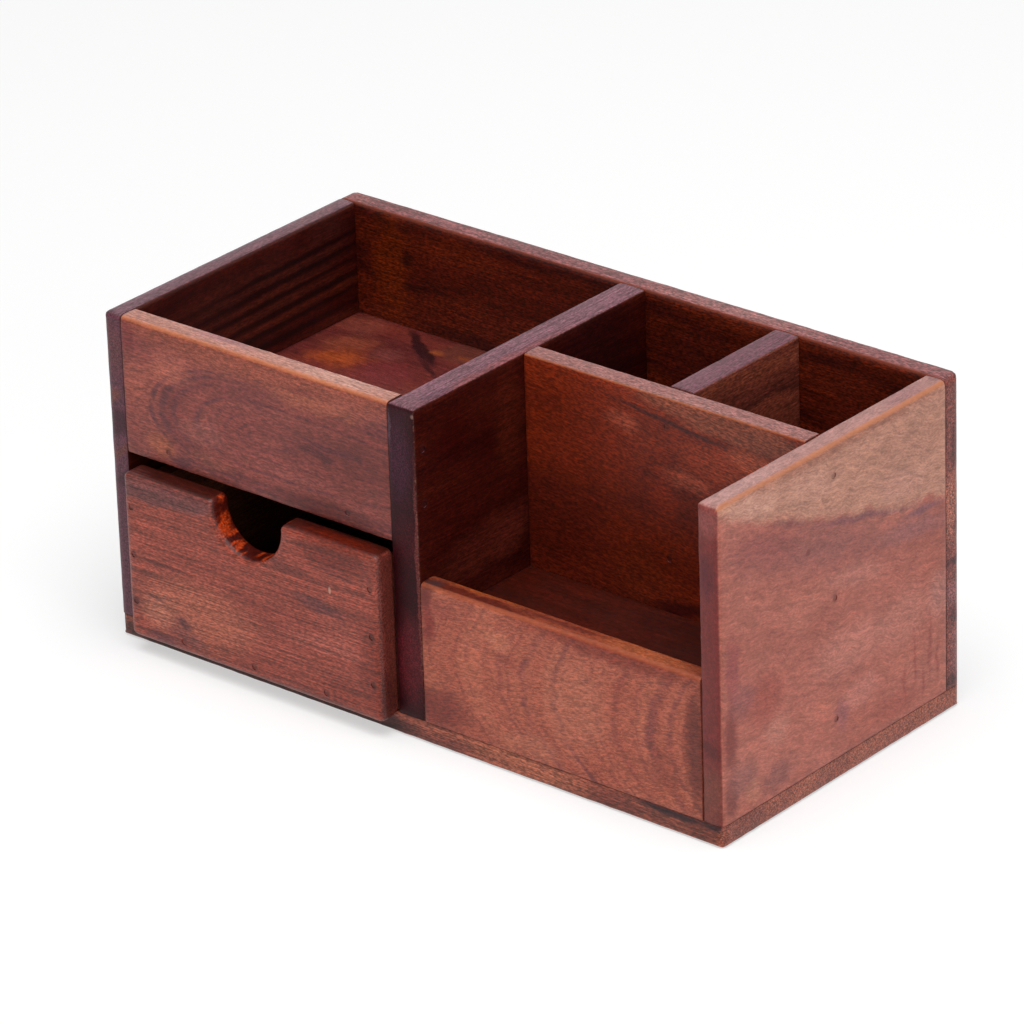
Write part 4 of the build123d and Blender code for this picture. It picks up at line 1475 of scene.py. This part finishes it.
class PENSTAND_OT_tray_floor(bpy.types.Operator):
    """Glossy board under the tray, streaked orange and maroon"""

    bl_idname = "pen_stand.tray_floor"
    bl_label = "Tray floor"

    def execute(self, context):
        look = settings()
        board = make_board("tray_floor", {})
        wood = Wood("tray_floor", "x", look.tray_floor, 8.6)
        wood.figure(middle=(-90, 10, 60), reach=(2.5, 1, 1), ring=9, wander=6, size=30, line=0.3)
        # Orange and maroon patches, with two dark cracks towards the rear.
        wood.spot("top", -104, 32, 15, 9, (136, 66, 46), strength=0.7, lean=30)
        wood.spot("top", -100, 21, 17, 10, (160, 70, 32), strength=0.85, lean=25, soft=0.9, ragged=14)
        wood.spot("top", -88, 32, 9, 7, (112, 56, 52), strength=0.5)
        wood.spot("top", -78, 20, 16, 12, (110, 42, 44), strength=0.7)
        wood.spot("top", -110, 46, 13, 10, (124, 62, 50))
        wood.spot("top", -82, 43, 20, 3.0, (40, 14, 18), strength=0.95, lean=-36, soft=0.5)
        wood.spot("top", -70, 32, 14, 1.6, (52, 20, 22), strength=0.8, lean=-30, soft=0.6)
        wood.spot("top", -66, 48, 12, 10, (100, 50, 40), strength=0.8, soft=0.4)
        wood.spot("top", -75.6, 43.5, 4.0, 3.2, (146, 74, 38), strength=0.7, ragged=5)
        wood.spot("top", -64, 45, 6, 1.6, (140, 66, 26))
        wood.end_colour((112, 60, 50))
        wood.grain_lines(streaks=0.26, mottle=0.2, length=20.0, specks=0.2)
        wood.pores(DARK_PORE, amount=0.45, length=5.0, width=0.6, strength=0.5)
        material = wood.finish(look.finish, look.finish.glossy, rub=0.0, joint=0.7, coat=0.6)
        hand_over(board, "tray_floor", "case", material)
        return {"FINISHED"}


class PENSTAND_OT_low_front(bpy.types.Operator):
    """Low salmon board in front of the bay, with arched rings and red flecks"""

    bl_idname = "pen_stand.low_front"
    bl_label = "Low front"

    def execute(self, context):
        look = settings()
        board = make_board("low_front", {"front top": "soft", "rear top": "soft"})
        wood = Wood("low_front", "x", look.low_front, 6.5, tilt=9.0)
        wood.curl(0.8, 9.0)
        wood.figure(
            middle=(60, -20, 34), reach=(900, 1, 1), ring=2.2, taper=-0.5, wander=1.0, size=12,
            rings=0.5, line=0.45, cloud=0.3,
        )
        # Arched rings: four strong ones and four faint ones.
        wood.ring_marks(
            (118, 54, 54), (42.3, 0.9, 0.8), (48.4, 1.1, 0.65), (22.6, 1.6, 0.65), (19.0, 0.9, 0.65)
        )
        wood.ring_marks(
            (132, 60, 54), (36.0, 0.7, 0.5), (30.0, 0.9, 0.45), (26.0, 0.7, 0.45), (53.0, 0.9, 0.45)
        )
        # Pale middle, dark lower left corner and right end.
        wood.spot("front", 68, 32, 18, 24, (190, 112, 86), strength=0.55)
        wood.spot("front", 50, 12, 18, 6, (186, 110, 84))
        wood.spot("front", 42, 40, 6, 5, (150, 68, 54), strength=0.5)
        wood.spot("front", 28, 40, 12, 8, (190, 102, 78), strength=0.4)
        wood.spot("front", 37, 45.6, 9, 5, (206, 122, 92))
        wood.spot("front", 12, 14, 18, 11, (118, 42, 32), strength=0.85)
        wood.spot("front", 9, 9, 4, 3, (146, 66, 50))
        wood.spot("front", 8.5, 44, 4, 12, (128, 36, 32), strength=0.8)
        wood.spot("front", 12, 50, 10, 5, (150, 66, 54))
        wood.spot("front", 82, 55, 50, 5, (128, 46, 30), strength=0.8)
        wood.spot("front", 104, 20, 10, 14, (144, 66, 48))
        wood.spot("front", 117, 32, 6, 30, (96, 34, 24), strength=0.85)
        wood.end_colour((120, 62, 50))
        wood.top_sheen_and_tone((128, 56, 32))
        wood.spot("top", 24, -59.5, 34, 2.6, (82, 24, 14), strength=0.9, soft=0.5)
        wood.spot("top", 62, -57.5, 32, 1.8, (92, 34, 26), strength=0.85)
        wood.spot("top", 30, -55.5, 26, 2.2, (146, 68, 28), strength=0.8)
        wood.spot("top", 96, -58, 26, 6, (160, 84, 50), strength=0.8)
        wood.grain_lines(streaks=0.18, mottle=0.12, length=10.0, mottle_size=0.9, specks=0.28)
        wood.pores(DASH, amount=0.9, length=4.4, width=0.95, strength=1.0, by_rings=0.4)
        wood.pores(SOFT_PORE, amount=0.7, length=2.0, width=0.55, strength=0.9)
        # Darker marks at the corner by the partition.
        wood.spot("front", 8, 53, 4, 6, (104, 32, 26), strength=0.75, ragged=3)
        wood.spot("front", 10, 57, 5, 2.4, (58, 26, 26), strength=0.85, ragged=3)
        wood.spot("top", 10, -60, 5, 4, (66, 42, 42), strength=0.85, ragged=3)
        # The finish paints a highlight along the lit upper arris.
        material = wood.finish(look.finish, rub=0.15, arris_highlight=(160, 78, 46), highlight_strength=0.7, joint=0.2)
        hand_over(board, "low_front", "case", material)
        return {"FINISHED"}


class PENSTAND_OT_bay_floor(bpy.types.Operator):
    """Dark board in the bottom of the bay"""

    bl_idname = "pen_stand.bay_floor"
    bl_label = "Bay floor"

    def execute(self, context):
        look = settings()
        board = make_board("bay_floor", {})
        wood = Wood("bay_floor", "x", look.bay_floor, 9.4)
        wood.figure(middle=(60, -30, 0), reach=(8, 1, 1), ring=5, wander=3, size=28, line=0.5)
        wood.spot("top", 92, -26, 24, 20, (48, 10, 4), strength=0.8)
        wood.end_colour((96, 50, 40))
        wood.grain_lines(streaks=0.3, mottle=0.15)
        wood.pores(DARK_PORE, amount=0.5, length=5.0, width=0.6, strength=0.5)
        material = wood.finish(look.finish, rub=0.0, joint=0.5)
        hand_over(board, "bay_floor", "case", material)
        return {"FINISHED"}


class PENSTAND_OT_cross_panel(bpy.types.Operator):
    """Orange-red board that closes the bay behind"""

    bl_idname = "pen_stand.cross_panel"
    bl_label = "Cross panel"

    def execute(self, context):
        look = settings()
        board = make_board("cross_panel", {"front top": "rubbed", "rear top": "rubbed"}, CROSS_NAILS)
        wood = Wood("cross_panel", "x", look.cross, 1.9, tilt=-6.0)
        wood.curl(0.5, 12.0)
        wood.figure(middle=(60, 40, 30), reach=(4, 1, 1), ring=9, wander=6, size=40, line=0.3, cloud=0.6)
        # Darker towards the partition, with a glow and a dark line at the upper right.
        wood.spot("front", 16, 62, 26, 26, (95, 28, 13), strength=0.8)
        wood.spot("front", 88, 99, 26, 9, (162, 62, 32), strength=0.7)
        wood.spot("front", 52, 52, 16, 14, (124, 45, 18))
        wood.spot("front", 46, 92, 12, 12, (132, 40, 10))
        wood.spot("front", 86, 114, 42, 7, (144, 74, 52), strength=0.85, lean=-5, soft=0.4)
        wood.spot("front", 66, 108.5, 34, 1.1, (64, 24, 24), strength=0.8, lean=-7, soft=0.6, ragged=2)
        wood.spot("front", 70, 44, 20, 4, (66, 8, 6), strength=0.85, lean=8)
        wood.spot("front", 84, 52, 12, 12, (96, 22, 12), strength=0.75)
        wood.spot("front", 84, 74, 9, 10, (102, 26, 8), strength=0.7)
        wood.spot("front", 72, 90, 14, 5, (176, 82, 58))
        wood.spot("front", 46, 104, 10, 4, (168, 78, 54))
        wood.spot("front", 97, 104, 12, 5, (190, 92, 60))
        wood.spot("front", 62, 82, 8, 14, (142, 46, 20), strength=0.5)
        wood.spot("front", 112, 70, 8, 22, (170, 72, 44))
        wood.spot("front", 34, 66, 10, 22, (100, 30, 14))
        wood.end_colour((120, 62, 50))
        # Painted sheen on the upper face, with a paler strip along it.
        wood.top_sheen_and_tone((148, 97, 92))
        wood.spot("top", 70, -6.5, 60, 2, (152, 104, 98), strength=0.5)
        wood.grain_lines(streaks=0.3, mottle=0.26, length=14.0, mottle_size=0.9, specks=0.42)
        wood.pores(SOFT_PORE, amount=0.8, length=2.6, width=0.7, strength=1.0)
        wood.halo(look.finish, CROSS_NAILS, size=1.6)
        # The finish paints a highlight along the lit upper arris.
        material = wood.finish(look.finish, arris_highlight=(160, 84, 40), joint=0.5)
        hand_over(board, "cross_panel", "case", material)
        return {"FINISHED"}


class PENSTAND_OT_pen_divider(bpy.types.Operator):
    """Olive-tan board between the two pen wells"""

    bl_idname = "pen_stand.pen_divider"
    bl_label = "Pen divider"

    def execute(self, context):
        look = settings()
        board = make_board("pen_divider", {"left top": "rubbed", "right top": "rubbed"})
        wood = Wood("pen_divider", "y", look.divider, 3.8)
        wood.figure(middle=(40, 0, 60), reach=(1, 8, 1), ring=5, wander=3, size=30, line=0.5)
        wood.end_colour((112, 66, 56))
        # Painted sheen on the upper face.
        wood.top_sheen_and_tone((100, 59, 72))
        wood.grain_lines(streaks=0.4, mottle=0.25, specks=0.4)
        wood.pores(DARK_PORE, amount=0.5, length=4.0, width=0.5, strength=0.5)
        material = wood.finish(look.finish, rub=0.2)
        hand_over(board, "pen_divider", "case", material)
        return {"FINISHED"}


def rod(x, y, z, radius, reach, sides):
    """A round bar lying front to rear, to cut with."""
    put_all_down()
    bpy.ops.mesh.primitive_cylinder_add(
        vertices=sides, radius=radius, depth=reach, location=(x, y, z), rotation=(QUARTER_TURN, 0, 0)
    )
    return bpy.context.object


def notch_middle(work):
    """The middle of the finger notch's arc, seen from the front."""
    low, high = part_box("drawer_front")
    return Vector(((low.x + high.x) / 2 - work.notch_aside, 0, high.z - work.notch_down))


def notch_cutter(work, middle, depth, through):
    """A bar as wide as the notch, its upper half drawn up so that the notch's walls stand straight."""
    cutter = rod(middle.x, depth, middle.z, work.notch, through, 96)
    bpy.ops.object.transform_apply(location=True, rotation=True, scale=True)
    bpy.ops.object.mode_set(mode="EDIT")
    bpy.ops.mesh.select_all(action="DESELECT")
    bpy.ops.object.mode_set(mode="OBJECT")
    for vertex in cutter.data.vertices:
        vertex.select = vertex.co.z > middle.z + 0.1 * MM
    bpy.ops.object.mode_set(mode="EDIT")
    bpy.ops.transform.translate(value=(0, 0, 10 * MM))
    bpy.ops.object.mode_set(mode="OBJECT")
    return cutter


def slope_under(board, work):
    """Slopes off the rear of the lower edge, so that the face hangs clear of the base."""
    base_low, base_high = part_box("base_board")
    take_up(board)
    bpy.ops.object.mode_set(mode="EDIT")
    bpy.ops.mesh.select_all(action="SELECT")
    bpy.ops.mesh.bisect(
        plane_co=(0, base_low.y - work.face_clearance, base_high.z),
        plane_no=(0, math.sin(work.face_slope), -math.cos(work.face_slope)),
        use_fill=True, clear_outer=True,
    )
    bpy.ops.object.mode_set(mode="OBJECT")


def notched_front(work):
    """The drawer's front: a blank with round corners and a finger notch with soft lips."""
    node = "drawer_front"
    through = 0.05
    spare = 1 * MM
    low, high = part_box(node)
    depth = (low.y + high.y) / 2
    middle = notch_middle(work)
    board = squared("drawer_front_wood", node)

    def corners(first, second):
        return work.drawer_corner if abs(first.y - second.y) > spare else 0.0

    def face_edges(first, second):
        on_face = abs(first.y - low.y) < TOUCHING and abs(second.y - low.y) < TOUCHING
        return work.drawer_face if on_face else 0.0

    round_over(board, corners, 4)
    slope_under(board, work)
    cut_away(board, notch_cutter(work, middle, depth, through), "EXACT")
    # Each lip is what is left of a square block round a bar that touches both the top and the wall.
    lip = work.notch_lip
    for side in (-1, 1):
        near = middle.x + side * (work.notch - 2 * lip)
        far = middle.x + side * (work.notch + lip)
        put_all_down()
        bpy.ops.mesh.primitive_cube_add(
            size=1, location=((near + far) / 2, depth, high.z - lip / 2 + spare),
            scale=(abs(far - near), through, lip + 2 * spare),
        )
        wedge = bpy.context.object
        cut_away(wedge, rod(far, depth, high.z - lip, lip, 1.2 * through, 64))
        cut_away(board, wedge)
    take_up(board)
    bpy.ops.object.mode_set(mode="EDIT")
    bpy.ops.mesh.select_all(action="SELECT")
    bpy.ops.mesh.remove_doubles(threshold=0.12 * MM)
    bpy.ops.object.mode_set(mode="OBJECT")
    round_over(board, face_edges)
    break_edges(board, work.joint)
    return board


class PENSTAND_OT_drawer_front(bpy.types.Operator):
    """Red-brown board across the drawer, with a finger notch in its upper edge"""

    bl_idname = "pen_stand.drawer_front"
    bl_label = "Drawer front"

    def execute(self, context):
        look = settings()
        work = look.work
        node = "drawer_front"
        low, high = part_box(node)
        middle = notch_middle(work)
        arrises = ("front top", "front under", "left front", "right front", "left top", "right top")

        def off_the_notch(point):
            """How far a point lies from the notch's front arris."""
            below = min(point.z - middle.z, 0)
            from_bore = abs(math.hypot(point.x - middle.x, below) - work.notch)
            return math.hypot(from_bore, abs(point.y - low.y))

        board = notched_front(work)
        use_up(board, node, arrises, DRAWER_NAILS, off_the_notch)
        wood = Wood(node, "x", look.drawer_front, 5.2, tilt=1.0)
        wood.figure(
            middle=(-40, -10, -30), reach=(16, 1, 1), ring=3.0, wander=1.4, size=30, rings=0.35,
            line=0.35, cloud=0.35,
        )
        # Pale lower left, dark upper edge and right end, and fine level lines between.
        wood.spot("front", -84, 22, 34, 16, (178, 98, 74), strength=0.75)
        wood.spot("front", -103, 18, 10, 9, (200, 120, 96))
        wood.spot("front", -22, 34, 16, 6, (166, 82, 66), strength=0.5)
        wood.spot("front", -100, 61, 34, 5.6, (116, 64, 62), strength=0.85, lean=3, soft=0.4, ragged=4)
        wood.spot("front", -24, 60, 26, 7, (112, 34, 20), strength=0.8)
        wood.spot("front", -8, 24, 10, 26, (122, 44, 28), strength=0.8)
        wood.spot("front", -22, 12, 14, 6, (116, 44, 30))
        wood.spot("front", -32, 40.5, 16, 3.4, (108, 54, 56), strength=0.65, lean=-4)
        wood.spot("front", -48, 50.5, 18, 3.0, (108, 46, 38), strength=0.55, lean=-2)
        wood.spot("front", -30, 27, 24, 5.0, (176, 92, 76), strength=0.55, lean=2)
        wood.spot("front", -90, 12, 13, 3.0, (110, 58, 58), lean=-6)
        wood.spot("front", -99, 35.4, 18, 0.9, (92, 36, 34), strength=0.7, soft=0.6, ragged=2)
        wood.spot("front", -60, 34, 30, 0.8, (104, 42, 38), strength=0.5, lean=-3, soft=0.6, ragged=2)
        wood.spot("front", -25, 54, 16, 0.9, (92, 36, 34), lean=-5, ragged=2)
        wood.spot("front", -91.3, 16.5, 5.5, 3, (92, 44, 48), strength=0.8, lean=-20, ragged=3)
        wood.spot("front", -103, 22.5, 7, 1.0, (98, 50, 46), strength=0.7, lean=-14, ragged=2)
        wood.spot("front", -101, 8.5, 12, 3.4, (108, 54, 58), strength=0.7, lean=-4)
        wood.spot("front", -113, 19, 3, 1.8, (98, 44, 46), strength=0.7, ragged=2)
        wood.end_colour((100, 42, 34), 0.95)
        wood.spot("right", -66, 14, 6, 12, (74, 28, 22), strength=0.8)
        wood.top_sheen_and_tone((54, 10, 4), 0.95)
        wood.spot("top", -112, -66, 8, 5, (88, 42, 38), strength=0.7)
        wood.spot("top", -24, -66, 24, 5, (100, 24, 4), strength=0.8)
        # Wall of the finger notch: dark red, with scraps of bright wood.
        bore = wood.bore(middle.x / MM, middle.z / MM, work.notch / MM)
        wood.lay(bore, (74, 14, 6), 0.97)
        wood.lay(wood.scraps(bore), (196, 66, 20), 0.8)
        wood.grain_lines(streaks=0.5, mottle=0.16, width=0.6, length=44.0, specks=0.36)
        wood.pores(DARK_PORE, amount=0.6, length=12.0, width=0.55, strength=0.85)
        wood.pores(DARK_PORE, amount=0.6, length=2.6, width=0.55, strength=0.7)
        wood.spot("front", -26.4, 47.5, 0.8, 1.8, (206, 160, 140), strength=0.7, ragged=1)
        wood.halo(look.finish, DRAWER_NAILS, size=1.7)
        material = wood.finish(look.finish, rub=0.5, rub_width=0.8, joint=0.2)
        hand_over(board, node, "drawer", material)
        return {"FINISHED"}


class PENSTAND_OT_drawer_box(bpy.types.Operator):
    """Sides, back and bottom of the drawer, of plain paler wood"""

    bl_idname = "pen_stand.drawer_box"
    bl_label = "Drawer box"

    def execute(self, context):
        look = settings()
        pieces = {
            "drawer_left_side": ("y", {"left top": "rubbed", "right top": "rubbed"}),
            "drawer_right_side": ("y", {"left top": "rubbed", "right top": "rubbed"}),
            "drawer_back": ("x", {"front top": "rubbed", "rear top": "rubbed"}),
            "drawer_bottom": ("x", {}),
        }
        for number, (node, (along, arrises)) in enumerate(pieces.items()):
            board = make_board(node, arrises)
            wood = Wood(node, along, look.drawer_box, 11.0 + 1.7 * number)
            reach = (12, 1, 1) if along == "x" else (1, 12, 1)
            wood.figure(middle=(-60, 0, -40 + 12 * number), reach=reach, ring=5, wander=2.5, line=0.45)
            wood.end_colour((118, 70, 54))
            wood.grain_lines(streaks=0.35, mottle=0.15)
            wood.pores(DARK_PORE, amount=0.55, length=6.0, width=0.6, strength=0.5)
            material = wood.finish(look.finish, 0.5, rub=0.2, joint=0.6)
            hand_over(board, node, "drawer", material)
        return {"FINISHED"}


class PENSTAND_OT_nails(bpy.types.Operator):
    """Steel of the nails, which the model already has in place"""

    bl_idname = "pen_stand.nails"
    bl_label = "Nails"

    def execute(self, context):
        look = settings()
        material, draft = new_material("nail steel")
        rust = draft.noise(place_on_board(draft), 1.4, 3.0, 0.6, 2.0).outputs[0]
        colour = draft.blend(draft.ease(rust, 0.4, 0.65), tuple(look.finish.nail), shade(58, 34, 28))
        surface = draft.add("ShaderNodeBsdfPrincipled")
        draft.plug(surface.inputs["Base Color"], colour)
        draft.plug(surface.inputs["Roughness"], draft.ease(rust, 0.3, 0.7, 0.4, 0.75))
        surface.inputs["Metallic"].default_value = 0.6
        bump = draft.add("ShaderNodeBump")
        bump.inputs["Distance"].default_value = 0.05 * MM
        draft.plug(bump.inputs["Height"], rust)
        draft.plug(surface.inputs["Normal"], bump.outputs["Normal"])
        out = draft.add("ShaderNodeOutputMaterial")
        draft.plug(out.inputs["Surface"], surface.outputs["BSDF"])
        for name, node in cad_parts.items():
            if name.endswith("_nails"):
                node.data.materials.clear()
                node.data.materials.append(material)
        return {"FINISHED"}


# ---- the stage ----

# The photograph's viewpoint in metres, and how far the camera is turned, dipped and leant in degrees.
CAMERA_PLACE = (1.2773, -1.4969, 0.9939)
CAMERA_TURN = 40.646
CAMERA_DIP = 25.474
CAMERA_LEAN = -1.923


def lamp(name, place, aim, size, power):
    """A square soft lamp of a given size in metres, turned to what it lights."""
    put_all_down()
    bpy.ops.object.light_add(type="AREA", location=place)
    light = bpy.context.object
    light.name = name
    light.data.shape = "SQUARE"
    light.data.size = size
    light.data.energy = power
    light.rotation_euler = (Vector(aim) - Vector(place)).to_track_quat("-Z", "Y").to_euler()


def backdrop_rays(draft):
    """One where the room is seen, straight on or in a shine or glass; nought where it only lights."""
    path = draft.add("ShaderNodeLightPath")
    seen = draft.maths("MAXIMUM", path.outputs["Is Camera Ray"], path.outputs["Is Glossy Ray"])
    return draft.maths("MAXIMUM", seen, path.outputs["Is Transmission Ray"])


class PENSTAND_OT_stage(bpy.types.Operator):
    """Plain pale floor, soft studio light and the camera"""

    bl_idname = "pen_stand.stage"
    bl_label = "Stage"

    def execute(self, context):
        stage = settings().stage
        put_all_down()
        bpy.ops.mesh.primitive_plane_add(size=12, location=(0, 0, -0.0003))
        floor = context.object
        floor.name = "studio_floor"
        floor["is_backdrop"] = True
        material, draft = new_material("studio floor")
        plain = draft.add("ShaderNodeBsdfDiffuse")
        plain.inputs["Color"].default_value = tuple(stage.floor)
        faded = draft.add("ShaderNodeBsdfDiffuse")
        faded.inputs["Color"].default_value = (0.5, 0.5, 0.5, 1)
        glow = draft.add("ShaderNodeEmission")
        glow.inputs["Strength"].default_value = stage.glow
        both = draft.add("ShaderNodeAddShader")
        draft.plug(both.inputs[0], faded.outputs[0])
        draft.plug(both.inputs[1], glow.outputs[0])
        choice = draft.add("ShaderNodeMixShader")
        draft.plug(choice.inputs[0], backdrop_rays(draft))
        draft.plug(choice.inputs[1], plain.outputs[0])
        draft.plug(choice.inputs[2], both.outputs[0])
        out = draft.add("ShaderNodeOutputMaterial")
        draft.plug(out.inputs["Surface"], choice.outputs[0])
        floor.data.materials.append(material)

        world = bpy.data.worlds.new("studio room")
        context.scene.world = world
        world.use_nodes = True
        world.node_tree.nodes.clear()
        draft = Draft(world.node_tree)
        light = draft.add("ShaderNodeBackground")
        draft.plug(light.inputs["Strength"], draft.ease(backdrop_rays(draft), 0.0, 1.0, stage.sky, 1.0))
        out = draft.add("ShaderNodeOutputWorld")
        draft.plug(out.inputs["Surface"], light.outputs[0])

        lamp("soft_key", place=(0.35, -0.3, 2.2), aim=(0, 0, 0.05), size=2.0, power=stage.key_power)
        lamp("soft_side", place=(1.6, -0.9, 0.7), aim=(0, 0, 0.06), size=1.0, power=stage.side_power)

        bpy.ops.object.camera_add(location=CAMERA_PLACE)
        camera = context.object
        camera.name = "camera"
        around = Matrix.Rotation(math.radians(CAMERA_TURN), 4, "Z")
        down = Matrix.Rotation(math.radians(90 - CAMERA_DIP), 4, "X")
        lean = Matrix.Rotation(math.radians(CAMERA_LEAN), 4, "Z")
        camera.rotation_euler = (around @ down @ lean).to_euler()
        camera.data.lens = stage.lens
        camera.data.sensor_width = 36
        camera.data.clip_start = 0.05
        camera.data.clip_end = 50
        context.scene.camera = camera
        context.scene.view_settings.view_transform = "Standard"
        return {"FINISHED"}


PIECES = (
    PENSTAND_OT_base_board,
    PENSTAND_OT_back_panel,
    PENSTAND_OT_left_side_panel,
    PENSTAND_OT_right_side_panel,
    PENSTAND_OT_middle_partition,
    PENSTAND_OT_tray_front,
    PENSTAND_OT_tray_floor,
    PENSTAND_OT_low_front,
    PENSTAND_OT_bay_floor,
    PENSTAND_OT_cross_panel,
    PENSTAND_OT_pen_divider,
    PENSTAND_OT_drawer_front,
    PENSTAND_OT_drawer_box,
    PENSTAND_OT_nails,
    PENSTAND_OT_stage,
)


class PENSTAND_PT_panel(bpy.types.Panel):
    """Lists the pen stand's pieces and the settings they are made from"""

    bl_idname = "PENSTAND_PT_panel"
    bl_label = "Pen Stand"
    bl_space_type = "VIEW_3D"
    bl_region_type = "UI"
    bl_category = "Pen Stand"

    def draw(self, context):
        column = self.layout.column(align=True)
        for piece in PIECES:
            column.operator(piece.bl_idname, text=piece.bl_label)
        stand = context.scene.pen_stand
        for name in stand.bl_rna.properties.keys():
            group = getattr(stand, name)
            if not isinstance(group, bpy.types.PropertyGroup):
                continue
            box = self.layout.box()
            box.label(text=stand.bl_rna.properties[name].name)
            for value in group.bl_rna.properties.keys():
                if value not in {"rna_type", "name"}:
                    box.prop(group, value)


WOODS = (
    BaseWood,
    BackWood,
    LeftWood,
    RightWood,
    PartitionWood,
    TrayFrontWood,
    TrayFloorWood,
    LowFrontWood,
    BayFloorWood,
    CrossWood,
    DividerWood,
    DrawerFrontWood,
    DrawerBoxWood,
)
CLASSES = (BoardWork, *WOODS, Finish, Stage, PenStand, *PIECES, PENSTAND_PT_panel)


def register():
    for each in CLASSES:
        bpy.utils.register_class(each)
    bpy.types.Scene.pen_stand = bpy.props.PointerProperty(type=PenStand)


def unregister():
    del bpy.types.Scene.pen_stand
    for each in reversed(CLASSES):
        bpy.utils.unregister_class(each)


def main():
    register()
    growth_rings_group()
    fibres_group()
    pores_group()
    stain_shade_and_sheen_patch_group()
    facing_group()
    arris_wear_and_highlight_group()
    wood_tone_group()
    lacquer_group()
    bpy.ops.pen_stand.base_board()
    bpy.ops.pen_stand.back_panel()
    bpy.ops.pen_stand.left_side_panel()
    bpy.ops.pen_stand.right_side_panel()
    bpy.ops.pen_stand.middle_partition()
    bpy.ops.pen_stand.tray_front()
    bpy.ops.pen_stand.tray_floor()
    bpy.ops.pen_stand.low_front()
    bpy.ops.pen_stand.bay_floor()
    bpy.ops.pen_stand.cross_panel()
    bpy.ops.pen_stand.pen_divider()
    bpy.ops.pen_stand.drawer_front()
    bpy.ops.pen_stand.drawer_box()
    bpy.ops.pen_stand.nails()
    bpy.ops.pen_stand.stage()
    corners = {"cad": CAD_BOX, "visual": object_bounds()}
    boxes = {name: [list(low), list(high)] for name, (low, high) in corners.items()}


if __name__ == "__main__":
    main()
